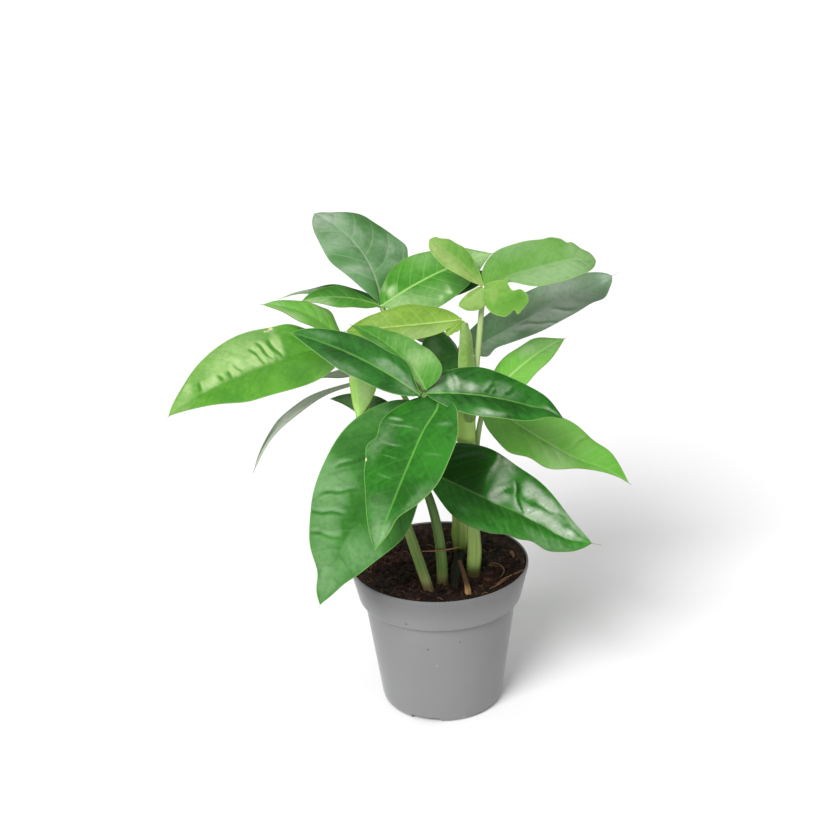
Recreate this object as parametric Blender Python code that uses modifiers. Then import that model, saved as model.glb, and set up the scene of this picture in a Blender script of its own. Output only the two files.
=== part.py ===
"""Potted syngonium: a grow pot full of potting mix, leaf stalks that rise from it, and divided leaves.

The origin is the centre of the underside of the pot. +Z is up, and the front of the plant faces -Y.
Every leaf has a stalk that ends in a small knuckle, the hub, from which its leaflets spread. The
lengths below are in millimetres and the angles in degrees; MM turns a length into metres.
"""

import math
from collections import namedtuple

import bmesh
import bpy
import numpy as np

MM = 0.001

# The grow pot: a thin tapered wall with a wider collar, and drain notches at the corner of its base.
RIM_RADIUS = 60.0
POT_HEIGHT = 102.0
COLLAR_HEIGHT = 24.0
COLLAR_FOOT_RADIUS = 54.8
BODY_TOP_RADIUS = 51.4
BASE_RADIUS = 40.5
WALL = 1.3
FLOOR = 1.6
LEDGE_DROP = 1.2
POT_STEPS = 48
NOTCH_COUNT = 3
NOTCH_WIDTH = 20.0
NOTCH_RISE = 3.6
NOTCH_DEPTH = 5.0
NOTCH_TURN = 12.0

# The potting mix: nearly level round the stalks and banked up to the rim.
SOIL_LEVEL = 95.0
SOIL_BANK = 99.5
SOIL_FLAT_RADIUS = 44.0
CLEARANCE = 0.3

# Leaves and stalks.
BLADE_THICKNESS = 0.8
BLADE_ROWS = 9
BLADE_COLUMNS = 4
HUB_RADIUS = 2.7
LEAFLET_START = 3.4
NECK_HALF_WIDTH = 0.8
CUP = 0.15
STALK_POINTS = 7
FOOT_RISE = 2.5

PALE_GREEN = (0.38, 0.50, 0.16)
DRY_TAN = (0.40, 0.24, 0.10)

# The sheathed stems and the dead stub: (x, y, z, radius) from the foot to the top.
STEMS = {
    "left_stem": [
        (14.5, 19, 95.4, 4.6), (14.5, 19, 98, 4.5), (14.5, 16, 112, 4.4), (14, 12, 130, 4.6),
        (10.5, 7.5, 146, 6.6), (8, 5, 155, 8.0), (8, 5, 158, 8.2),
    ],
    "right_stem": [
        (22.5, -11, 95.4, 4.8), (22.5, -11, 98, 4.8), (23.5, -9, 110, 4.8), (23, -7, 130, 4.2),
        (22, -3, 160, 4.8), (20.5, 0.5, 182, 5.6), (19, 1, 200, 7.0), (19, 1, 206, 7.4),
    ],
    "dead_stub": [
        (17.8, -36.6, 95.4, 2.2), (17.8, -36.6, 97.5, 2.0), (16, -31, 105, 1.5), (13, -25, 114, 1.2),
    ],
}

# half, base and point hold the left and the right half of the blade, seen from the hub to the tip:
# the half width at its widest, how slowly the width grows from the hub, and how slowly it falls to
# the tip. roll turns the blade to its right about its length, fold lifts both halves from the
# midrib, arch and bow bend the midrib up and to the right, and hook makes the tip droop.
Leaflet = namedtuple(
    "Leaflet",
    "tip half base point roll fold arch bow hook",
    defaults=((0.9, 0.9), (1.0, 1.0), 0.0, 12.0, 0.0, 0.0, 0.0),
)
# start and bend are the foot of the stalk and the point that it leans towards on its way to the hub.
Leaf = namedtuple("Leaf", "hub colour start bend foot_radius neck_radius leaflets")

# The winged sheaths that two of the stalks wear: the lower end and the blade that rises from it.
SHEATHS = {
    "pale_sheath": (
        (20.8, -6, 203.3),
        (0.28, 0.56, 0.05),
        Leaflet((20.8, -1.5, 266), (6.2, 6.2), (0.2, 0.2), (0.3, 0.3), fold=-14),
    ),
    "left_sheath": (
        (-51.5, -12.5, 204),
        (0.34, 0.54, 0.12),
        Leaflet((-54, 0, 248), (3, 15), (0.6, 0.9), (0.5, 0.6), fold=-10),
    ),
}

LEAVES = {
    "front": Leaf(
        hub=(-7, -50, 242),
        colour=(0.03, 0.16, 0.03),
        start=(9.4, -0.2, 158.5),
        bend=(8, -2, 205),
        foot_radius=2.4,
        neck_radius=2.0,
        leaflets={
            "left": Leaflet(
                (-88, -25, 275), (11.5, 20), (0.8, 1.0), (1.0, 0.85), roll=-25, arch=4, bow=-4
            ),
            "back": Leaflet(
                (-52, 5, 269), (8, 19), (1.7, 0.55), (0.9, 1.1), roll=-20, fold=25, arch=3, bow=8
            ),
            "right": Leaflet(
                (79, -45, 219.5), (22, 22.5), (0.75, 0.7), (0.9, 0.9), roll=20, arch=7
            ),
            "middle": Leaflet(
                (-39, -110, 166), (27, 28), (0.75, 0.6), (1.3, 1.0), arch=10, bow=-6
            ),
        },
    ),
    "hanging": Leaf(
        hub=(-7, -28, 226),
        colour=(0.05, 0.24, 0.04),
        start=(3.5, 2.1, 158.5),
        bend=(-3, -6, 195),
        foot_radius=2.4,
        neck_radius=2.0,
        leaflets={
            "middle": Leaflet(
                (-76, -80, 114), (29, 36), (0.9, 0.55), (1.1, 0.9), roll=-38, arch=12, bow=-7
            ),
        },
    ),
    "low": Leaf(
        hub=(-16, -22, 184),
        colour=(0.03, 0.16, 0.03),
        start=(1.5, -23.5, 95.4),
        bend=(-3, -26, 145),
        foot_radius=3.4,
        neck_radius=1.7,
        leaflets={
            "right": Leaflet(
                (98, -40, 133), (34, 23), (0.55, 1.05), (0.9, 0.65), roll=36, fold=16, arch=-1, bow=2
            ),
            "left": Leaflet((-70, 40, 205), (7, 18), roll=-30, arch=10),
        },
    ),
    "right": Leaf(
        hub=(33, 5, 213),
        colour=(0.13, 0.42, 0.05),
        start=(28.2, 1.5, 178),
        bend=(29, 1.5, 196),
        foot_radius=1.9,
        neck_radius=1.5,
        leaflets={
            "front": Leaflet(
                (125, -10, 158), (22, 19), (0.9, 0.4), (1.0, 1.8), roll=35, fold=16, arch=-3
            ),
            "back": Leaflet((88, 45, 241), (12, 12), roll=20, arch=6),
        },
    ),
    "crown": Leaf(
        hub=(33, 10, 290),
        colour=(0.20, 0.50, 0.10),
        start=(22.3, 3, 206.5),
        bend=(28, 5, 240),
        foot_radius=2.3,
        neck_radius=1.7,
        leaflets={
            "right": Leaflet(
                (105, 20, 301), (20, 15), (0.45, 0.9), (0.55, 0.5), roll=38, fold=16, arch=4
            ),
            "left": Leaflet((0, 20, 319), (10, 10), point=(0.5, 0.5), roll=-40, arch=2),
            "right_ear": Leaflet(
                (60, -5, 284), (8, 15), (0.5, 0.5), (0.5, 0.5), roll=58
            ),
            "left_ear": Leaflet((18, 0, 281), (7, 7), (0.5, 0.5), (0.5, 0.5), roll=-50),
        },
    ),
    "tall": Leaf(
        hub=(-33, 48, 268),
        colour=(0.10, 0.26, 0.10),
        start=(9.9, 10, 158.5),
        bend=(-10, 25, 225),
        foot_radius=2.4,
        neck_radius=1.8,
        leaflets={
            "back": Leaflet(
                (-77, 100, 317), (25, 34), (0.75, 0.65), (0.55, 0.7), fold=6, arch=4, bow=10
            ),
            "right": Leaflet((46, 60, 284), (10, 10), roll=40),
            "left": Leaflet((-101, 50, 274), (12, 12), (1.3, 0.9), (1.6, 1.6), arch=7),
        },
    ),
    "fresh": Leaf(
        hub=(-33, 38, 270),
        colour=(0.13, 0.42, 0.05),
        start=(13.4, 4.7, 158.5),
        bend=(-6, 16, 225),
        foot_radius=2.3,
        neck_radius=1.7,
        leaflets={
            "right": Leaflet((41, 60, 297), (20, 20), (0.55, 0.8), roll=30, arch=6),
            "left": Leaflet((-84, 30, 278), (10, 11), (0.9, 1.4), (1.3, 1.3)),
        },
    ),
    "pale": Leaf(
        hub=(19, 5, 270),
        colour=(0.28, 0.56, 0.05),
        start=(19.3, -1.3, 206.5),
        bend=(21, 1.5, 235),
        foot_radius=2.3,
        neck_radius=1.8,
        leaflets={
            "left": Leaflet((-56, 25, 258), (16, 16), point=(0.8, 0.8), roll=-25, arch=5),
            "ear": Leaflet((9, -4, 263), (5, 5), (0.5, 0.5), (0.5, 0.5)),
        },
    ),
    "left": Leaf(
        hub=(-57, 10, 254),
        colour=(0.18, 0.46, 0.05),
        start=(-7, -31.5, 95.4),
        bend=(-51, -14, 190),
        foot_radius=3.8,
        neck_radius=2.2,
        leaflets={
            "front": Leaflet(
                (-171, -10, 216), (26, 28), (0.55, 0.9), (1.2, 0.9), roll=-38, fold=14, arch=8
            ),
            "back": Leaflet((-108, 15, 281), (14, 14), roll=-10, arch=7),
        },
    ),
    "drooping": Leaf(
        hub=(-27, 25, 225),
        colour=(0.16, 0.24, 0.14),
        start=(3.8, 8.4, 158.5),
        bend=(-8, 12, 195),
        foot_radius=2.3,
        neck_radius=1.6,
        leaflets={
            "front": Leaflet(
                (-121, 10, 168), (5, 5), (1.3, 1.3), (0.9, 0.9), roll=-10, arch=15, hook=8
            ),
            "back": Leaflet((-85, 28, 223), (8, 8), arch=4),
        },
    ),
    "back": Leaf(
        hub=(17, 40, 233),
        colour=(0.10, 0.22, 0.10),
        start=(15.7, 3.2, 206.5),
        bend=(27, 25, 209),
        foot_radius=2.3,
        neck_radius=1.9,
        leaflets={
            "right": Leaflet(
                (122, 72, 275), (20, 13), (0.5, 0.75), (0.55, 0.55), roll=30, fold=5, arch=2
            ),
            "front": Leaflet((-6, 10, 231), (20, 20), (0.45, 0.45), (0.8, 0.8), roll=-50, arch=4),
            "left": Leaflet((-18, 70, 245), (12, 12), arch=2),
        },
    ),
}

UP = np.array([0.0, 0.0, 1.0])


def unit(vector):
    return vector / np.linalg.norm(vector)


def side_value(pair, s):
    """The value for the left half of a blade, s below 0, or for its right half."""
    return pair[0] if s < 0 else pair[1]


def midrib(hub, leaflet, t):
    """Where a leaflet's midrib is at t, from 0 at the hub to 1 at the tip, its direction and its side."""
    hub, tip = np.array(hub, float), np.array(leaflet.tip, float)
    forward = unit(tip - hub)
    side = unit(np.cross(forward, UP))
    lift = np.cross(side, forward)
    start = hub + forward * LEAFLET_START
    bend = lift * leaflet.arch + side * leaflet.bow
    point = start + (tip - start) * t + bend * 4 * t * (1 - t) + lift * leaflet.hook * (t - t**4)
    direction = (tip - start) + bend * (4 - 8 * t) + lift * leaflet.hook * (1 - 4 * t**3)
    return point, unit(direction), side


def half_width(leaflet, t, s):
    """How far the blade reaches from its midrib at t, on the side of s."""
    base, point = side_value(leaflet.base, s), side_value(leaflet.point, s)
    widest = base / (base + point)
    outline = (t / widest) ** base * ((1 - t) / (1 - widest)) ** point
    neck = NECK_HALF_WIDTH * (1 - t) + 0.15
    return max(side_value(leaflet.half, s) * outline, neck)


def blade_point(hub, leaflet, t, s):
    """A point on the middle surface of a blade: t runs along it, s across it from -1 to 1."""
    point, direction, side = midrib(hub, leaflet, t)
    across = unit(side - direction * (side @ direction))
    lift = np.cross(across, direction)
    roll, fold = math.radians(leaflet.roll), math.radians(leaflet.fold)
    across, lift = (
        across * math.cos(roll) - lift * math.sin(roll),
        across * math.sin(roll) + lift * math.cos(roll),
    )
    width = half_width(leaflet, t, s)
    sideways = s * width * math.cos(fold)
    upwards = abs(s) * width * math.sin(fold) - CUP * width * s * s
    return point + across * sideways + lift * upwards


def clear_scene():
    for obj in list(bpy.data.objects):
        bpy.data.objects.remove(obj)


def new_collection(name):
    collection = bpy.data.collections.new(name)
    bpy.context.scene.collection.children.link(collection)
    return collection


def make_material(name, colour, roughness):
    material = bpy.data.materials.new(name)
    material.use_nodes = True
    shader = material.node_tree.nodes["Principled BSDF"]
    shader.inputs["Base Color"].default_value = (*colour, 1.0)
    shader.inputs["Roughness"].default_value = roughness
    shader.inputs["Metallic"].default_value = 0.0
    return material


def add_object(name, data, collection, material=None):
    obj = bpy.data.objects.new(name, data)
    collection.objects.link(obj)
    if material:
        data.materials.append(material)
    return obj


def turned(name, profile, collection, material):
    """A solid of revolution from a closed profile of (radius, height), which starts and ends on the axis."""
    mesh = bpy.data.meshes.new(name)
    points = [(radius * MM, 0.0, height * MM) for radius, height in profile]
    mesh.from_pydata(points, [(i, i + 1) for i in range(len(points) - 1)], [])
    obj = add_object(name, mesh, collection, material)
    screw = obj.modifiers.new("Turn", "SCREW")
    screw.steps = screw.render_steps = POT_STEPS
    screw.use_merge_vertices = True
    screw.merge_threshold = 0.00001
    screw.use_smooth_shade = True
    return obj


def wall_profile(inset):
    """The pot's outer wall from the rim down to the base, moved inwards by inset."""
    collar_foot = POT_HEIGHT - COLLAR_HEIGHT
    return [
        (RIM_RADIUS - inset, POT_HEIGHT),
        (COLLAR_FOOT_RADIUS - inset, collar_foot + inset * 0.7),
        (BODY_TOP_RADIUS - inset, collar_foot - LEDGE_DROP + inset * 0.7),
        (BASE_RADIUS - inset, 0.0),
    ]


def add_notches(pot, cutters):
    """Cuts the drain notches at the corner between the pot's wall and its base."""
    for i in range(NOTCH_COUNT):
        angle = math.radians(NOTCH_TURN + 360 / NOTCH_COUNT * i)
        mesh = bpy.data.meshes.new(f"notch_{i}")
        shape = bmesh.new()
        bmesh.ops.create_cube(shape, size=1.0)
        bmesh.ops.scale(
            shape, vec=(NOTCH_DEPTH * 2 * MM, NOTCH_WIDTH * MM, NOTCH_RISE * 2 * MM), verts=shape.verts
        )
        shape.to_mesh(mesh)
        shape.free()
        cutter = add_object(f"notch_{i}", mesh, cutters)
        reach = BASE_RADIUS * MM
        cutter.location = (reach * math.cos(angle), reach * math.sin(angle), 0.0)
        cutter.rotation_euler = (0.0, 0.0, angle)
        cutter.hide_render = True
        cutter.display_type = "WIRE"
        cut = pot.modifiers.new(f"Notch {i}", "BOOLEAN")
        cut.operation = "DIFFERENCE"
        cut.object = cutter


def build_pot(collection, cutters):
    outer = wall_profile(0.0)
    inner = [(radius, height) for radius, height in wall_profile(WALL)[:-1]]
    inner_base = (BASE_RADIUS - WALL, FLOOR)
    profile = [(0.0, FLOOR), inner_base, *reversed(inner), *outer, (0.0, 0.0)]
    material = make_material("grow_pot_plastic", (0.38, 0.38, 0.40), 0.5)
    pot = turned("pot", profile, collection, material)
    add_notches(pot, cutters)


def build_soil(collection):
    inset = WALL + CLEARANCE
    rim, collar_foot, body_top, base = wall_profile(inset)
    bank = (SOIL_BANK - collar_foot[1]) / (rim[1] - collar_foot[1])
    bank_radius = collar_foot[0] + (rim[0] - collar_foot[0]) * bank
    floor = FLOOR + CLEARANCE
    profile = [
        (0.0, SOIL_LEVEL),
        (SOIL_FLAT_RADIUS, SOIL_LEVEL),
        (bank_radius, SOIL_BANK),
        collar_foot,
        body_top,
        (base[0], floor),
        (0.0, floor),
    ]
    turned("soil", profile, collection, make_material("potting_mix", (0.05, 0.02, 0.015), 0.95))


def build_blade(name, hub, leaflet, collection, material):
    """One leaflet: a flat grid moved onto the blade's surface and given its thickness."""
    mesh = bpy.data.meshes.new(name)
    shape = bmesh.new()
    bmesh.ops.create_grid(shape, x_segments=BLADE_ROWS, y_segments=BLADE_COLUMNS, size=1.0)
    for vertex in shape.verts:
        t, s = (vertex.co.x + 1) / 2, vertex.co.y
        vertex.co = blade_point(hub, leaflet, t, s) * MM
    shape.to_mesh(mesh)
    shape.free()
    obj = add_object(name, mesh, collection, material)
    solidify = obj.modifiers.new("Thickness", "SOLIDIFY")
    solidify.thickness = BLADE_THICKNESS * MM
    solidify.offset = 0.0


def build_sheath(name, foot, colour, leaflet, collection):
    build_blade(name, foot, leaflet, collection, make_material(f"{name}_green", colour, 0.4))


def stalk_path(leaf):
    """Points and radii from the foot of a stalk up through the knuckle at its hub."""
    start, bend, hub = (np.array(point, float) for point in (leaf.start, leaf.bend, leaf.hub))
    points, radii = [], []
    low = start + UP * FOOT_RISE
    for t in np.linspace(0.0, 1.0, STALK_POINTS):
        points.append(low * (1 - t) ** 2 + bend * 2 * t * (1 - t) + hub * t**2)
        radii.append(leaf.foot_radius * (1 - t) + leaf.neck_radius * t)
    points.insert(0, start)
    radii.insert(0, leaf.foot_radius)
    axis = unit(hub - bend)
    points[-1:] = [hub - axis * 4.5, hub - axis, hub + axis * 1.5, hub + axis * 2.6]
    radii[-1:] = [leaf.neck_radius, HUB_RADIUS, HUB_RADIUS - 0.3, HUB_RADIUS / 2]
    return points, radii


def build_tube(name, points, radii, collection, material):
    """A round stalk of changing thickness, as a curve with a bevel and filled caps."""
    curve = bpy.data.curves.new(name, "CURVE")
    curve.dimensions = "3D"
    curve.bevel_depth = MM
    curve.bevel_resolution = 1
    curve.use_fill_caps = True
    spline = curve.splines.new("POLY")
    spline.points.add(len(points) - 1)
    for place, point, radius in zip(spline.points, points, radii):
        place.co = (*(point * MM), 1.0)
        place.radius = radius
    add_object(name, curve, collection, material)


def build_leaf(name, leaf, collection):
    stalk = make_material(f"{name}_stalk_green", PALE_GREEN, 0.4)
    blade = make_material(f"{name}_blade_green", leaf.colour, 0.35)
    build_tube(f"{name}_stalk", *stalk_path(leaf), collection, stalk)
    for place, leaflet in leaf.leaflets.items():
        build_blade(f"{name}_leaflet_{place}", leaf.hub, leaflet, collection, blade)


def main():
    clear_scene()
    parts = new_collection("potted_syngonium")
    cutters = new_collection("cutters")
    build_pot(parts, cutters)
    build_soil(parts)
    for name, places in STEMS.items():
        stem = make_material(f"{name}_skin", DRY_TAN if name == "dead_stub" else PALE_GREEN, 0.5)
        points = [np.array(place[:3], float) for place in places]
        build_tube(name, points, [place[3] for place in places], parts, stem)
    for name, (foot, colour, leaflet) in SHEATHS.items():
        build_sheath(name, foot, colour, leaflet, parts)
    for name, leaf in LEAVES.items():
        build_leaf(name, leaf, parts)


if __name__ == "__main__":
    main()
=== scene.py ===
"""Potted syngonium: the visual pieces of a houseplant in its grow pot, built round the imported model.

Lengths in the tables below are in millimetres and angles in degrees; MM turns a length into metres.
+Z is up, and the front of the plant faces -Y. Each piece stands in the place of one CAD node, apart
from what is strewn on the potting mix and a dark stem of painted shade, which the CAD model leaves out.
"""

import math
from collections import namedtuple

import bmesh
import bpy
import numpy as np
from bpy.props import FloatProperty, FloatVectorProperty, IntProperty, PointerProperty
from mathutils import Matrix, Vector, noise


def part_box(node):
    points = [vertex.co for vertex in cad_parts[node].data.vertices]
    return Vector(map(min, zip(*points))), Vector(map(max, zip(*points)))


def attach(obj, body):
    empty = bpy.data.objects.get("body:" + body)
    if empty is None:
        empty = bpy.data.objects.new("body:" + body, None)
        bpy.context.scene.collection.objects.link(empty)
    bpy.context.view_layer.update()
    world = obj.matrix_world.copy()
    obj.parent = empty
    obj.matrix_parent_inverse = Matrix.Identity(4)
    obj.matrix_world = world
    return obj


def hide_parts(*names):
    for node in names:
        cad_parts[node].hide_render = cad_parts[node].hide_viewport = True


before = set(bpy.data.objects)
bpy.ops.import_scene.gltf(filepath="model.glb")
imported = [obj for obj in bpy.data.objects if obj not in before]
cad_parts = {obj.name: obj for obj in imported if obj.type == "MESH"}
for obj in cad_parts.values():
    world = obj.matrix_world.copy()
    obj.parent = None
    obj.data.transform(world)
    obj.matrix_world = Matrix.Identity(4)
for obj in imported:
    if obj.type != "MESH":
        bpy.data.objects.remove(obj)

bl_info = {
    "name": "Potted syngonium",
    "version": (1, 0, 0),
    "blender": (4, 5, 0),
    "location": "3D View > Sidebar > Syngonium",
    "description": "Builds a potted syngonium with its leaves, stalks, potting mix, grow pot and studio",
    "category": "Add Mesh",
}

MM = 0.001
UP = np.array([0.0, 0.0, 1.0])

# What grows where.

# half, base and point hold the left and the right half of a blade, seen from the hub to the tip: the
# half width at its widest, how slowly the width grows from the hub, and how slowly it falls to the
# tip. roll turns the blade to its right about its length and twist adds to it from end to end. fold
# lifts both halves from the midrib. arch and bow bend the midrib up and to the right, hook makes the
# tip droop, and drip is the length of the fine point beyond the tip. root is where the blade leaves
# the hub, measured from the hub. bends push the midrib aside: the place from hub to tip, the length
# of the bend along the midrib and how far it goes. bumps do the same to a margin: the side (-1 left,
# 1 right), the place, the length and the height as a share of the half width, below 0 for a dent.
# A step narrows one half between the hub and a place: the side, the place, the softness, the share.
# wave is the height, the number and the phase of the margin's waves, quilt is how far the blade
# swells between its side veins, crumple is the depth of its random wrinkles, pitch is the spacing
# of the side veins and sweep is how far they lean to the tip. rib is how pale the midrib is, below 0
# for a dark one. tones are patches of painted sheen and highlight, partly silvery wax, or of painted
# shade in deeper green where the amount is below 0: the place across the blade from -1 to 1, the
# place along it, the reach both ways and the amount, and how sharply it ends where it isn't soft. It
# keeps to its own half, unless its place across is 0.
# creases are sharp folds: place across and along where one starts, the same where it ends, and its
# depth. scars are dry spots: the place across and along, and the radius. look is one of LOOKS.
Leaflet = namedtuple(
    "Leaflet",
    "tip half base point roll twist fold arch bow hook drip root bends bumps steps wave quilt"
    " crumple pitch sweep rib tones creases scars look",
    defaults=(
        (0.9, 0.9), (1.0, 1.0), 0.0, 0.0, 12.0, 0.0, 0.0, 0.0, 2.0, (0, 0, 0), (), (), (),
        (0.6, 2.3, 0.1), 0.45, 0.25, 9.5, 0.72, 0.5, (), (), (), "",
    ),
)
# hub is the knuckle that the leaflets spread from. start and bend are the foot of the stalk and the
# point that it leans towards on its way to the hub. The radii are the stalk's at its two ends.
Leaf = namedtuple("Leaf", "hub look start bend foot_radius neck_radius leaflets")

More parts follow.
